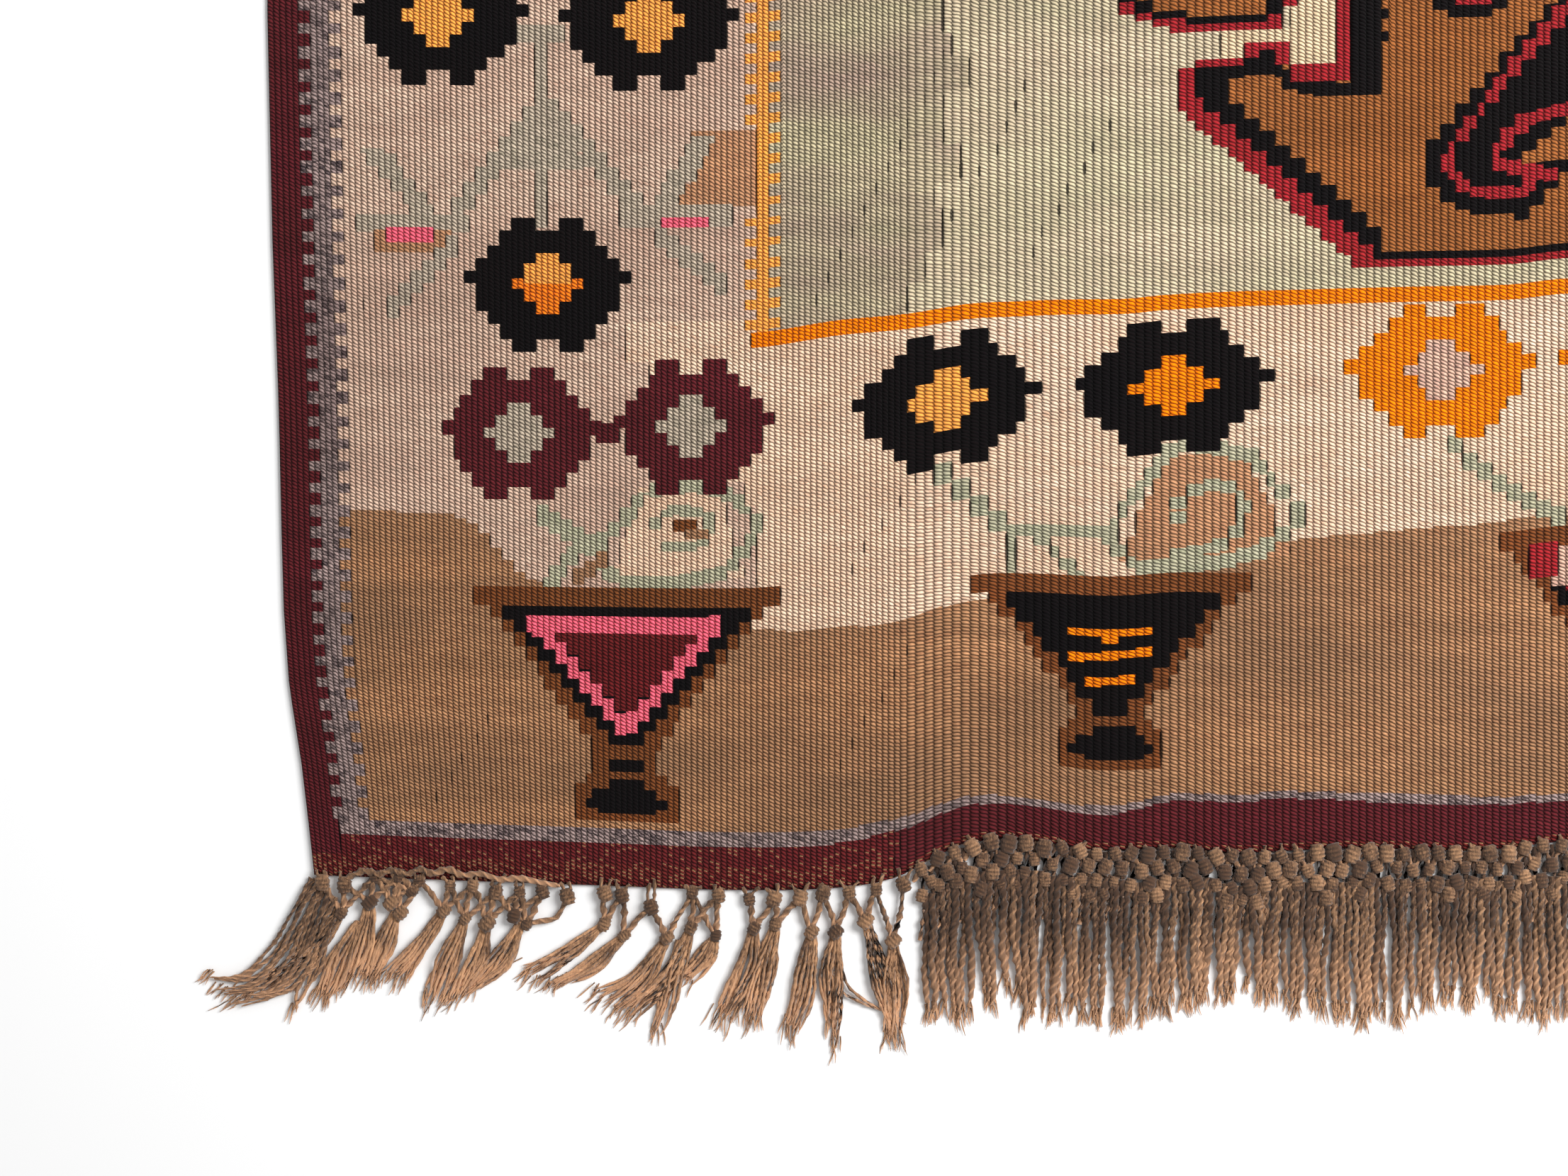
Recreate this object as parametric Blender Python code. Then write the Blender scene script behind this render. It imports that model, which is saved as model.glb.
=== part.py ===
"""Flat-woven kilim rug with a knotted fringe at each end.

Metres, +Z up. The rug lies flat on the ground with its woven length along Y. The cloth is one
thin slab with the bowed selvedges and the wavy hems of a hand-woven piece. Each fringe is a
narrow strip just outside its hem, from which the knotted locks of warp ends run outwards.
"""

import random

import bmesh
import bpy
from mathutils import Vector

COLLECTION = "kilim_rug"

WIDTH = 1.220  # selvedge to selvedge at half length
LENGTH = 1.830  # hem to hem, without the fringes
CLOTH_THICK = 0.0025
CLOTH_ROUND = 0.0006  # rounding of the cloth's edge
EDGE_STEP = 0.018  # distance between outline points along the selvedges

GAP = 0.0003  # parting between the cloth and a fringe's strip
STRIP_WIDTH = 0.0026
STRIP_THICK = 0.0023
CORNER_INSET = 0.0012  # a strip stops this far short of the selvedge
BOW_REACH = 0.180

# How far the left selvedge stands in to the right: (height above the near hem, shift).
LEFT_BOW = (
    (0.000, 0.0165), (0.045, 0.0115), (0.080, 0.0065), (0.110, 0.0045), (0.200, 0.0023),
    (0.260, 0.0000), (0.350, -0.0020), (0.600, -0.0012), (0.915, 0.0000), (1.600, -0.0010),
    (1.830, 0.0050),
)
# How far the right selvedge stands out to the right: (height above the near hem, shift).
RIGHT_BOW = (
    (0.000, -0.0050), (0.150, -0.0010), (0.600, 0.0015), (1.200, 0.0000), (1.700, 0.0010),
    (1.830, -0.0050),
)
# How far each hem lies above its straight line: (distance from the left selvedge, rise).
NEAR_HEM = (
    (0.000, 0.0017), (0.060, -0.0003), (0.130, -0.0025), (0.180, -0.0042), (0.222, -0.0034),
    (0.246, 0.0008), (0.268, 0.0124), (0.284, 0.0160), (0.300, 0.0150), (0.326, 0.0115),
    (0.360, 0.0123), (0.377, 0.0104), (0.429, 0.0123), (0.477, 0.0115), (0.512, 0.0150),
    (0.600, 0.0120), (0.700, 0.0095), (0.850, 0.0125), (1.000, 0.0080), (1.120, 0.0030),
    (1.220, 0.0010),
)
FAR_HEM = (
    (0.000, -0.0030), (0.200, 0.0010), (0.450, -0.0015), (0.700, 0.0020), (0.950, -0.0010),
    (1.220, -0.0035),
)

# Knots sit close together past the middle of the seen stretch: (distance from the left
# selvedge, distance between locks).
NEAR_PITCH = ((0.000, 0.0092), (0.250, 0.0092), (0.262, 0.0070), (0.512, 0.0070), (0.540, 0.0105))
FAR_PITCH = ((0.000, 0.0120),)
# Where a lock's tip lies, measured from its root on the hem: (distance from the left
# selvedge, shift to the right, drop).
NEAR_SWEEP = (
    (0.000, -0.0420, 0.0420), (0.030, -0.0290, 0.0450), (0.050, -0.0200, 0.0420),
    (0.070, -0.0180, 0.0400), (0.110, -0.0225, 0.0410), (0.130, -0.0240, 0.0400),
    (0.170, -0.0225, 0.0490), (0.190, -0.0140, 0.0520), (0.230, -0.0060, 0.0570),
    (0.255, -0.0090, 0.0540), (0.290, -0.0030, 0.0620), (0.330, 0.0000, 0.0680),
    (0.380, 0.0030, 0.0590), (0.430, 0.0020, 0.0670), (0.512, 0.0030, 0.0660),
    (0.800, -0.0020, 0.0630), (1.100, 0.0040, 0.0600), (1.220, 0.0140, 0.0560),
)
FAR_SWEEP = (
    (0.000, -0.0120, 0.0560), (0.300, -0.0030, 0.0620), (0.800, 0.0030, 0.0600),
    (1.220, 0.0120, 0.0570),
)
# A lock from its first knot to its tip: (share of the way, width, height above the ground).
# A width is at most the share KNOT_FILL of the distance between locks.
LOCK_RINGS = (
    (0.09, 0.0064, 0.0046),  # first knot
    (0.18, 0.0034, 0.0028),  # neck
    (0.30, 0.0058, 0.0044),  # second knot
    (0.62, 0.0058, 0.0030),  # loose yarns
    (1.00, 0.0040, 0.0014),  # frayed tip
)
KNOT_FILL = 0.80
KNOT_DROP = 0.0045  # the first knot hangs straight below the hem before the lock swings aside
TIP_SPREAD = 0.0035  # the tips end unevenly by up to this much
SEED = 12


def read(table, at, column=1):
    """Value at a place on the smooth curve through a table's rows, level past both ends."""
    if at <= table[0][0]:
        return table[0][column]
    if at >= table[-1][0]:
        return table[-1][column]
    row = next(n for n in range(len(table) - 1) if at < table[n + 1][0])
    before, start = table[max(row - 1, 0)], table[row]
    end, after = table[row + 1], table[min(row + 2, len(table) - 1)]
    span = end[0] - start[0]
    lean_in = (end[column] - before[column]) / (end[0] - before[0]) * span
    lean_out = (after[column] - start[column]) / (after[0] - start[0]) * span
    t = (at - start[0]) / span
    return (
        (2 * t**3 - 3 * t**2 + 1) * start[column]
        + (t**3 - 2 * t**2 + t) * lean_in
        + (3 * t**2 - 2 * t**3) * end[column]
        + (t**3 - t**2) * lean_out
    )


def edge_point(across, along):
    """Point of the cloth's edge, across from the left selvedge and along from the near hem.

    A selvedge's bow fades out towards the middle of the cloth, BOW_REACH away from it.
    """
    left_part = max(0.0, 1 - across / BOW_REACH) ** 2
    right_part = max(0.0, 1 - (WIDTH - across) / BOW_REACH) ** 2
    bow = left_part * read(LEFT_BOW, along) + right_part * read(RIGHT_BOW, along)
    rise = read(NEAR_HEM, across) if along < LENGTH / 2 else read(FAR_HEM, across)
    return Vector((across + bow - WIDTH / 2, along + rise - LENGTH / 2, 0.0))


def material(name, colour, roughness):
    made = bpy.data.materials.new(name)
    made.use_nodes = True
    shader = made.node_tree.nodes["Principled BSDF"]
    shader.inputs["Base Color"].default_value = (*colour, 1.0)
    shader.inputs["Roughness"].default_value = roughness
    shader.inputs["Metallic"].default_value = 0.0
    made.diffuse_color = (*colour, 1.0)
    return made


def shares_between(length):
    """Even shares between 0 and 1, without either, about EDGE_STEP apart."""
    count = round(length / EDGE_STEP)
    return [n / count for n in range(1, count)]


def lock_places(pitch):
    """Distances from the left selvedge at which one lock's root ends and the next begins."""
    places = [CORNER_INSET]
    while places[-1] < WIDTH - CORNER_INSET - 1.5 * read(pitch, WIDTH):
        places.append(places[-1] + read(pitch, places[-1]))
    return places + [WIDTH - CORNER_INSET]


def cloth(collection, wool):
    """The woven cloth: its outline, filled and given its thickness, with a rounded edge.

    The hems share their points with the fringes' strips, so the parting stays even.
    """
    near = [edge_point(place, 0.0) for place in [0.0, *lock_places(NEAR_PITCH), WIDTH]]
    right = [edge_point(WIDTH, LENGTH * s) for s in shares_between(LENGTH)]
    far = [edge_point(place, LENGTH) for place in [0.0, *lock_places(FAR_PITCH), WIDTH]]
    left = [edge_point(0.0, LENGTH * s) for s in shares_between(LENGTH)]
    outline = near + right + far[::-1] + left[::-1]
    curve = bpy.data.curves.new("woven_cloth", "CURVE")
    curve.dimensions = "2D"
    curve.fill_mode = "BOTH"
    curve.extrude = CLOTH_THICK / 2 - CLOTH_ROUND
    curve.bevel_depth = CLOTH_ROUND
    curve.bevel_resolution = 0
    curve.offset = -CLOTH_ROUND
    spline = curve.splines.new("POLY")
    spline.points.add(len(outline) - 1)
    for point, place in zip(spline.points, outline):
        point.co = (place.x, place.y, 0.0, 1.0)
    spline.use_cyclic_u = True
    curve.materials.append(wool)
    made = bpy.data.objects.new("woven_cloth", curve)
    made.location.z = CLOTH_THICK / 2
    collection.objects.link(made)
    return made


def lock_path(along, outward, place, sweep, spread):
    """Root, first knot and tip of one lock; outward is -1 for the near fringe, 1 for the far."""
    root = edge_point(place, along)
    root.y += outward * (GAP + STRIP_WIDTH)
    knot = root + Vector((0.0, outward * KNOT_DROP, 0.0))
    drop = read(sweep, place, 2) + spread
    tip = root + Vector((read(sweep, place, 1), outward * drop, 0.0))
    return root, knot, tip


def set_ring(face, centre, across, width, height):
    """Moves an extruded end face of a lock to its place, flat on the ground."""
    middle = face.calc_center_median()
    for corner in face.verts:
        side = 1 if (corner.co - middle).dot(across) > 0 else -1
        top = corner.co.z > middle.z
        inset = 0.62 if top else 1.0  # the top is narrower than the side that lies down
        place = centre + across * (side * inset * width / 2)
        corner.co = (place.x, place.y, height if top else 0.0)


def grow_lock(mesh, face, path, room):
    """Draws a lock out of its root face, ring by ring, to its frayed tip."""
    root, knot, tip = path
    for share, width, height in LOCK_RINGS:
        if share == LOCK_RINGS[0][0]:
            centre = knot
        else:
            centre = knot.lerp(tip, (share - LOCK_RINGS[0][0]) / (1 - LOCK_RINGS[0][0]))
        heading = (tip - knot).normalized() if centre != knot else (tip - root).normalized()
        side = Vector((-heading.y, heading.x, 0.0))
        if side.x < 0:
            side.negate()
        face = bmesh.ops.extrude_discrete_faces(mesh, faces=[face])["faces"][0]
        set_ring(face, centre, side, min(width, KNOT_FILL * room * abs(heading.y)), height)


def fringe(name, collection, yarn, along, outward, pitch, sweep):
    """One fringe: a strip along the hem, and the locks drawn out of its outer side."""
    places = lock_places(pitch)
    mesh = bmesh.new()
    bmesh.ops.create_grid(mesh, x_segments=len(places) - 1, y_segments=1, size=1.0)
    columns = sorted({round(v.co.x, 5) for v in mesh.verts})
    for corner in mesh.verts:
        place = places[columns.index(round(corner.co.x, 5))]
        outer = corner.co.y * outward > 0
        corner.co = edge_point(place, along)
        corner.co.y += outward * (GAP + (STRIP_WIDTH if outer else 0.0))
    lifted = bmesh.ops.extrude_face_region(mesh, geom=mesh.faces[:])["geom"]
    for corner in (g for g in lifted if isinstance(g, bmesh.types.BMVert)):
        corner.co.z = STRIP_THICK
    bmesh.ops.recalc_face_normals(mesh, faces=mesh.faces[:])
    mesh.faces.ensure_lookup_table()
    outer_side = [f for f in mesh.faces if f.normal.y * outward > 0.7]
    outer_side.sort(key=lambda f: f.calc_center_median().x)
    shuffle = random.Random(SEED)
    for number, face in enumerate(outer_side):
        place = (places[number] + places[number + 1]) / 2
        spread = shuffle.uniform(-TIP_SPREAD, TIP_SPREAD)
        path = lock_path(along, outward, place, sweep, spread)
        grow_lock(mesh, face, path, places[number + 1] - places[number])
    data = bpy.data.meshes.new(name)
    mesh.to_mesh(data)
    mesh.free()
    data.materials.append(yarn)
    made = bpy.data.objects.new(name, data)
    collection.objects.link(made)
    return made


def centre_on_ground(objects):
    """Moves the rug so that the middle of its box is over the origin."""
    bpy.context.view_layer.update()
    corners = [o.matrix_world @ Vector(c) for o in objects for c in o.bound_box]
    middle_x = (min(c.x for c in corners) + max(c.x for c in corners)) / 2
    middle_y = (min(c.y for c in corners) + max(c.y for c in corners)) / 2
    for made in objects:
        made.location.x -= middle_x
        made.location.y -= middle_y


def build():
    for old in list(bpy.data.objects):
        bpy.data.objects.remove(old, do_unlink=True)
    collection = bpy.data.collections.new(COLLECTION)
    bpy.context.scene.collection.children.link(collection)
    wool = material("burgundy_and_sage_wool", (0.22, 0.17, 0.11), 0.9)
    yarn = material("camel_warp_yarn", (0.27, 0.16, 0.09), 0.9)
    rug = [
        cloth(collection, wool),
        fringe("near_fringe", collection, yarn, 0.0, -1, NEAR_PITCH, NEAR_SWEEP),
        fringe("far_fringe", collection, yarn, LENGTH, 1, FAR_PITCH, FAR_SWEEP),
    ]
    centre_on_ground(rug)


build()
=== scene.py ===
"""Looks of a slit-woven kilim rug with a knotted fringe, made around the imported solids.

Lengths are in metres. The weaver's chart alone is in millimetres of cloth: across from the left
selvedge and up from the near hem.
"""

import bisect
import collections
import math
import random

import bmesh
import bpy
import numpy as np
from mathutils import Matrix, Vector


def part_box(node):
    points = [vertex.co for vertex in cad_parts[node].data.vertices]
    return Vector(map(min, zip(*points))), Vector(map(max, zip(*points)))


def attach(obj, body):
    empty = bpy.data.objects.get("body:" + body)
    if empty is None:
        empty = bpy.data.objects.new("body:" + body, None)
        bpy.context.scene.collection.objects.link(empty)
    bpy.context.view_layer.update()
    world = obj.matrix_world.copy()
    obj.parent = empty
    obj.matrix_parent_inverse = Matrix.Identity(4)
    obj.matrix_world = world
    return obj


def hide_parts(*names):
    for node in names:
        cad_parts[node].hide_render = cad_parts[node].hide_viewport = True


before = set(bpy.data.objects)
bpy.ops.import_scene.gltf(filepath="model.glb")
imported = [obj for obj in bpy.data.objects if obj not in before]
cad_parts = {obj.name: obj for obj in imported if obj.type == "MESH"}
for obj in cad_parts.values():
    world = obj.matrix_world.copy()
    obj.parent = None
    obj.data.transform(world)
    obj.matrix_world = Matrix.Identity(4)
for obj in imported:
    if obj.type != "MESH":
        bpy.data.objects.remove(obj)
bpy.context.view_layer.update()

# Sizes of the cloth, as in the solids.
WIDTH = 1.220
LENGTH = 1.830
THICK = 0.0025
WIDE = 1220  # the same in millimetres, for the chart
LONG = 1830
BOW_REACH = 0.180
LEFT_BOW = (  # distance along, shift to the right
    (0.000, 0.0165), (0.045, 0.0115), (0.080, 0.0065), (0.110, 0.0045), (0.200, 0.0023),
    (0.260, 0.0000), (0.350, -0.0020), (0.600, -0.0012), (0.915, 0.0000), (1.600, -0.0010),
    (1.830, 0.0050),
)
RIGHT_BOW = (
    (0.000, -0.0050), (0.150, -0.0010), (0.600, 0.0015), (1.200, 0.0000), (1.700, 0.0010),
    (1.830, -0.0050),
)
NEAR_HEM = (  # distance across, rise of the hem
    (0.000, 0.0017), (0.060, -0.0003), (0.130, -0.0025), (0.180, -0.0042), (0.222, -0.0034),
    (0.246, 0.0008), (0.268, 0.0124), (0.284, 0.0160), (0.300, 0.0150), (0.326, 0.0115),
    (0.360, 0.0123), (0.377, 0.0104), (0.429, 0.0123), (0.477, 0.0115), (0.512, 0.0150),
    (0.600, 0.0120), (0.700, 0.0095), (0.850, 0.0125), (1.000, 0.0080), (1.120, 0.0030),
    (1.220, 0.0010),
)
FAR_HEM = (
    (0.000, -0.0030), (0.200, 0.0010), (0.450, -0.0015), (0.700, 0.0020), (0.950, -0.0010),
    (1.220, -0.0035),
)

# How the weave runs inside that outline.
MID_WAVE = (  # distance across, rise of the rows one border's width above the hem
    (0.000, -0.0085), (0.187, -0.0085), (0.224, -0.0034), (0.250, -0.0010), (0.275, 0.0030),
    (0.295, 0.0040), (0.313, 0.0047), (0.337, 0.0050), (0.351, 0.0064), (0.378, 0.0078),
    (0.406, 0.0086), (0.447, 0.0097), (0.488, 0.0106), (0.512, 0.0130), (0.700, 0.0120),
    (1.000, 0.0060), (1.220, 0.0000),
)
WARP_PITCH = (  # distance across, width of one rib
    (0.000, 0.00236), (0.246, 0.00236), (0.252, 0.0036), (0.290, 0.0036), (0.300, 0.00336),
    (0.365, 0.00336), (0.380, 0.00305), (0.425, 0.0030), (0.440, 0.00292), (0.512, 0.0029),
    (0.540, 0.0032), (1.000, 0.0032), (1.020, 0.0026), (1.220, 0.0025),
)
FLOAT_PITCH = ((0.000, 0.00148), (0.240, 0.00148), (0.300, 0.00147), (1.220, 0.00146))
NEAR_REACH = 0.200  # the near hem's wave has died out this far up
MID_START = 0.300
MID_REACH = 0.600
FAR_START = 1.400
VALLEY_DROP = 0.0006  # how far the cloth dips between two ribs
SLIT_DROP = 0.0014  # and at a slit
RIM_DROP = 0.0009  # and along both hems
SLIT_SHORTEST = 4  # rows
SLIT_DEEP = 12  # rows, from which a slit also dips
SLIT_END = 3  # rows at each end of a slit over which it closes
NO_SLIT = (1e4, -1e4)  # first and last row of a slit that never opens
CLOSED = (-1.0, -1.0)  # rows from a slit's ends, outside it
# Rows that cut every rib, those beside a selvedge and those of the borders, so that they bend.
PLAIN_CUTS = (0, 2, 70, 180, 915, 1500, 1828, 1830)
EDGE_CUTS = (20, 45, 80, 110, 140, 200, 260, 350, 450, 600, 1200, 1400, 1650, 1760)
EDGE_WARPS = 12  # ribs beside a selvedge
BORDER_CUTS = (20, 45, 110, 260, 350, 600)
BORDER_WARPS = 54
UNDER_WARPS = 4  # ribs to a strip of the underside

# The photograph's frame on the floor: its middle from the cloth's corner, its width, and how
# high the camera hangs.
VIEW_ACROSS = 0.2019
VIEW_ALONG = 0.1149
VIEW_WIDTH = 0.6194
VIEW_HEIGHT = 1.30
SENSOR = 36.0
FLOOR_REACH = 12.0
FLOOR_DROP = 0.0002  # below the rug, so that the two don't overlap
FLOOR_PAINT = (0.9, 0.9, 0.9, 1)
SKY_STRENGTH = 0.55
PANEL_SPOT = (0.7, -0.3, 1.2)
PANEL_POWER = 41
PANEL_SIZE = 0.9


def read(table, at, column=1):
    """Value at a place on the smooth curve through a table's rows, level past both ends."""
    if at <= table[0][0]:
        return table[0][column]
    if at >= table[-1][0]:
        return table[-1][column]
    row = next(n for n in range(len(table) - 1) if at < table[n + 1][0])
    before, start = table[max(row - 1, 0)], table[row]
    end, after = table[row + 1], table[min(row + 2, len(table) - 1)]
    span = end[0] - start[0]
    lean_in = (end[column] - before[column]) / (end[0] - before[0]) * span
    lean_out = (after[column] - start[column]) / (after[0] - start[0]) * span
    t = (at - start[0]) / span
    return (
        (2 * t**3 - 3 * t**2 + 1) * start[column]
        + (t**3 - 2 * t**2 + t) * lean_in
        + (3 * t**2 - 2 * t**3) * end[column]
        + (t**3 - t**2) * lean_out
    )


def smooth(share):
    """A share from 0 to 1 that starts and ends gently."""
    share = min(1.0, max(0.0, share))
    return share * share * (3 - 2 * share)


def straight(table, at):
    """Value at a place on the straight lines through a table's rows."""
    return float(np.interp(at, [row[0] for row in table], [row[1] for row in table]))


cloth_low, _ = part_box("woven_cloth")
LEFT = cloth_low.x - min(read(LEFT_BOW, step / 1000) for step in range(LONG + 1))
NEAR = cloth_low.y - min(read(NEAR_HEM, step / 1000) for step in range(WIDE + 1))


def place(across, along, height=0.0):
    """Where a point of the flat chart lies on the floor, with the cloth's bows and waves."""
    left_part = max(0.0, 1 - across / BOW_REACH) ** 2
    right_part = max(0.0, 1 - (WIDTH - across) / BOW_REACH) ** 2
    bow = left_part * read(LEFT_BOW, along) + right_part * read(RIGHT_BOW, along)
    near = 1 - smooth(along / NEAR_REACH)
    mid = smooth(along / NEAR_REACH) * (1 - smooth((along - MID_START) / MID_REACH))
    far = smooth((along - FAR_START) / (LENGTH - FAR_START))
    rise = near * read(NEAR_HEM, across) + mid * read(MID_WAVE, across)
    rise += far * read(FAR_HEM, across)
    return (LEFT + across + bow, NEAR + along + rise, height)


# The chart: one column for each warp, one row for each millimetre woven. Its near left quarter
# is drawn, in millimetres across and up, and fill() mirrors it.
MIDDLE = WIDE // 2
HALFWAY = LONG // 2


def warp_edges():
    """Distances across, in millimetres, between one rib and the next."""
    edges = [0.0]
    while edges[-1] < WIDE:
        edges.append(edges[-1] + 1000 * straight(WARP_PITCH, edges[-1] / 1000))
    return [edge * WIDE / edges[-1] for edge in edges]


EDGES = warp_edges()
WARPS = len(EDGES) - 1
YARNS = (
    "burgundy", "flecked_burgundy", "grey_heather", "charcoal_heather", "beige", "camel",
    "taupe", "sage", "field_sage", "pale_sage", "cream", "black", "light_orange",
    "deep_orange", "pink", "crimson", "golden_brown", "rust", "wine", "lilac_grey",
    "grey_beige", "scroll_green", "pale_orange", "worn_burgundy",
)
YARN = {name: number for number, name in enumerate(YARNS)}
chart = np.full((LONG, WARPS), YARN["burgundy"])
LAZY_LINES = (  # slanting runs of small slits: first and last place, across and up
    ((214, 230), (270, 327)), ((251, 232), (287, 282)), ((290, 290), (296, 308)),
    ((228, 122), (260, 164)), ((223, 45), (253, 88)), ((258, 345), (262, 333)),
    ((300, 240), (330, 290)), ((60, 30), (88, 70)), ((36, 232), (62, 243)),
)
LAZY_PITCH = 8.2  # rows between one slit of a run and the next
LAZY_TALL = 6.5


def warp_at(across):
    """Number of the warp edge nearest to a distance across."""
    right = bisect.bisect_left(EDGES, across)
    if right == 0:
        return 0
    if right > WARPS:
        return WARPS
    return right if EDGES[right] - across < across - EDGES[right - 1] else right - 1


def fill(left, right, low, high, yarn):
    """Weaves a block in one yarn, and its mirror images in the other three corners."""
    for start, end in ((left, right), (WIDE - right, WIDE - left)):
        for bottom, top in ((low, high), (LONG - high, LONG - low)):
            rows = slice(round(bottom), round(top))
            chart[rows, warp_at(start) : warp_at(end)] = YARN[yarn]


def block(points, yarn):
    """A block between two opposite corners."""
    (left, low), (right, high) = points
    fill(left, right, min(low, high), max(low, high), yarn)


def slope(points, tall, yarn):
    """A band that climbs two warps at a time, tall rows high, centred on straight runs."""
    ends = sorted(points)
    for warp in range(warp_at(ends[0][0]), warp_at(ends[-1][0]), 2):
        left, right = EDGES[warp], EDGES[min(warp + 2, WARPS)]
        middle = straight(ends, (left + right) / 2)
        fill(left, right, middle - tall / 2, middle + tall / 2, yarn)


def lean(points, wide, yarn, step=5):
    """A steep band that moves aside a little at each step, wide millimetres across."""
    ends = sorted((high, across) for across, high in points)
    low = ends[0][0]
    while low < ends[-1][0]:
        top = min(low + step, ends[-1][0])
        middle = straight(ends, (low + top) / 2)
        fill(middle - wide / 2, middle + wide / 2, low, top, yarn)
        low = top


def band(points, wide, tall, steepened, yarn):
    """A band along any run of points: level and slanting runs climb, steep runs lean."""
    for start, end in zip(points, points[1:]):
        aside, up = abs(end[0] - start[0]), abs(end[1] - start[1])
        if aside >= up:
            slope((start, end), tall + steepened * up / aside, yarn)
        else:
            lean((start, end), wide, yarn)


def taper(points, narrow, broad, step, yarn):
    """A block whose sides step outwards as it rises, between two points of its middle line."""
    (centre, bottom), (_, top) = points
    count = max(1, round((top - bottom) / step))
    for number in range(count):
        half = narrow + (broad - narrow) * (number + 0.5) / count
        low = bottom + (top - bottom) * number / count
        high = bottom + (top - bottom) * (number + 1) / count
        fill(centre - half, centre + half, low, high, yarn)


def tier(half, low, high, yarn):
    """The part, for draw(), of a block that lies evenly on both sides of the middle line."""
    return block, ((-half, low), (half, high)), (), yarn


def draw(parts, aside=0.0, up=0.0, flipped_at=None):
    """Weaves parts in turn, each a way, its points, its sizes and its yarn.

    They are moved aside and up, and turned over at a row if one is given.
    """
    for way, points, sizes, yarn in parts:
        if flipped_at is not None:
            points = [(across, 2 * flipped_at - high) for across, high in points]
        way([(across + aside, high + up) for across, high in points], *sizes, yarn)


def stamp(art, centre, middle, cell, tall, letter, yarn):
    """Weaves a drawn half motif and its mirror image where the art has the letter."""
    top = middle + len(art) * tall / 2
    for number, line in enumerate(art):
        high = top - number * tall
        for cells, drawn in enumerate(line):
            if drawn == letter:
                near, far = cells * cell, (cells + 1) * cell
                fill(centre + near, centre + far, high - tall, high, yarn)
                fill(centre - far, centre - near, high - tall, high, yarn)


# Drawn halves of the rosettes, from the middle outwards, two warps a letter.
RING = (
    ".rr....",
    "rrrr...",
    "rrrrr..",
    "rrrrrr.",
    "rrrrrrr",
    "rrrrrr.",
    "rrrrrr.",
    "rrrrr..",
    "rrrr...",
    ".rr....",
)
HEART = ("h..", "hh.", "hhh", "hh.", "h..")
RING_STEP = 5.3
HEART_STEP = 4.9
RING_CELLS = 7  # letters from a rosette's middle to its side
HEART_RISE = 0.5


def rosette(centre, middle, half, ring, heart):
    """A stepped ring round a heart."""
    cell = half / RING_CELLS
    stamp(RING, centre, middle, cell, RING_STEP, "r", ring)
    stamp(HEART, centre, middle + HEART_RISE, cell, HEART_STEP, "h", heart)


COMB_LEFT = 16.5  # the grey line inside a selvedge
COMB_RIGHT = 23.6
COMB_TOOTH = 4.7
TOOTH_PITCH = 9.1
TOOTH_TALL = 4.6
TOOTH_START = 23.0
TOOTH_END = 912.0
COMB_WARPS = 20  # warps that hold the line and its teeth
CHARCOAL_ROWS = ((176, 240), (420, 470), (700, 790))
BORDER_LOW = 17  # rows of burgundy and grey below the border's ground


def side_comb():
    """The grey line inside each selvedge, with teeth on both sides."""
    fill(COMB_LEFT, COMB_RIGHT, BORDER_LOW, HALFWAY, "grey_heather")
    for low in np.arange(TOOTH_START, TOOTH_END, TOOTH_PITCH):
        for left in (COMB_LEFT - COMB_TOOTH, COMB_RIGHT):
            fill(left, left + COMB_TOOTH, low, low + TOOTH_TALL, "grey_heather")
    for bottom, top in CHARCOAL_ROWS:
        for columns in (slice(0, COMB_WARPS), slice(WARPS - COMB_WARPS, WARPS)):
            for rows in (slice(bottom, top), slice(LONG - top, LONG - bottom)):
                patch = chart[rows, columns]
                patch[patch == YARN["grey_heather"]] = YARN["charcoal_heather"]


HEM_LINE = (  # distance across, height of the thin grey line's middle, its thickness
    (14, 19.7, 5.6), (215, 19.8, 5.6), (240, 21.5, 5.0), (266, 17.0, 4.0), (290, 15.5, 3.4),
    (330, 16.0, 3.2), (355, 20.5, 3.0), (397, 22.5, 3.0), (431, 20.0, 3.0), (470, 20.0, 3.0),
    (512, 17.0, 3.0), (610, 18.0, 3.0),
)
CAMEL_TOP = (  # distance across, height at which the camel ground ends
    (23, 153), (70, 152), (76, 149), (80, 147), (89, 136), (95, 129), (101, 125), (192, 105),
    (209, 103), (253, 102), (273, 101), (300, 101), (370, 115), (398, 124), (493, 131),
    (610, 128),
)
BEIGE_JOIN = (  # rows woven, where the warmer beige begins across
    (93, 188), (9, 194), (8, 199), (9, 206), (10, 200), (9, 193), (10, 186), (12, 178),
    (11, 169), (12, 158), (13, 148), (16, 140),
)
HEM_LEFT = 14  # where the grey hem line begins
HEM_LOW = 9  # rows of flecked burgundy along the corner's hem
HEM_LOW_RIGHT = 3  # and in the rest
CORNER_END = 246  # where the netted corner of the fringe ends
BEIGE_TOP = 230
FRAME_LEFT = 191  # the orange line round the field
FIELD_LEFT = 196
FIELD_LOW = 222


def joined(table, low, yarn):
    """Fills from a stepped join to the middle, up to half length."""
    for tall, left in table:
        fill(left, MIDDLE, low, min(low + tall, HALFWAY), yarn)
        low += tall


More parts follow.
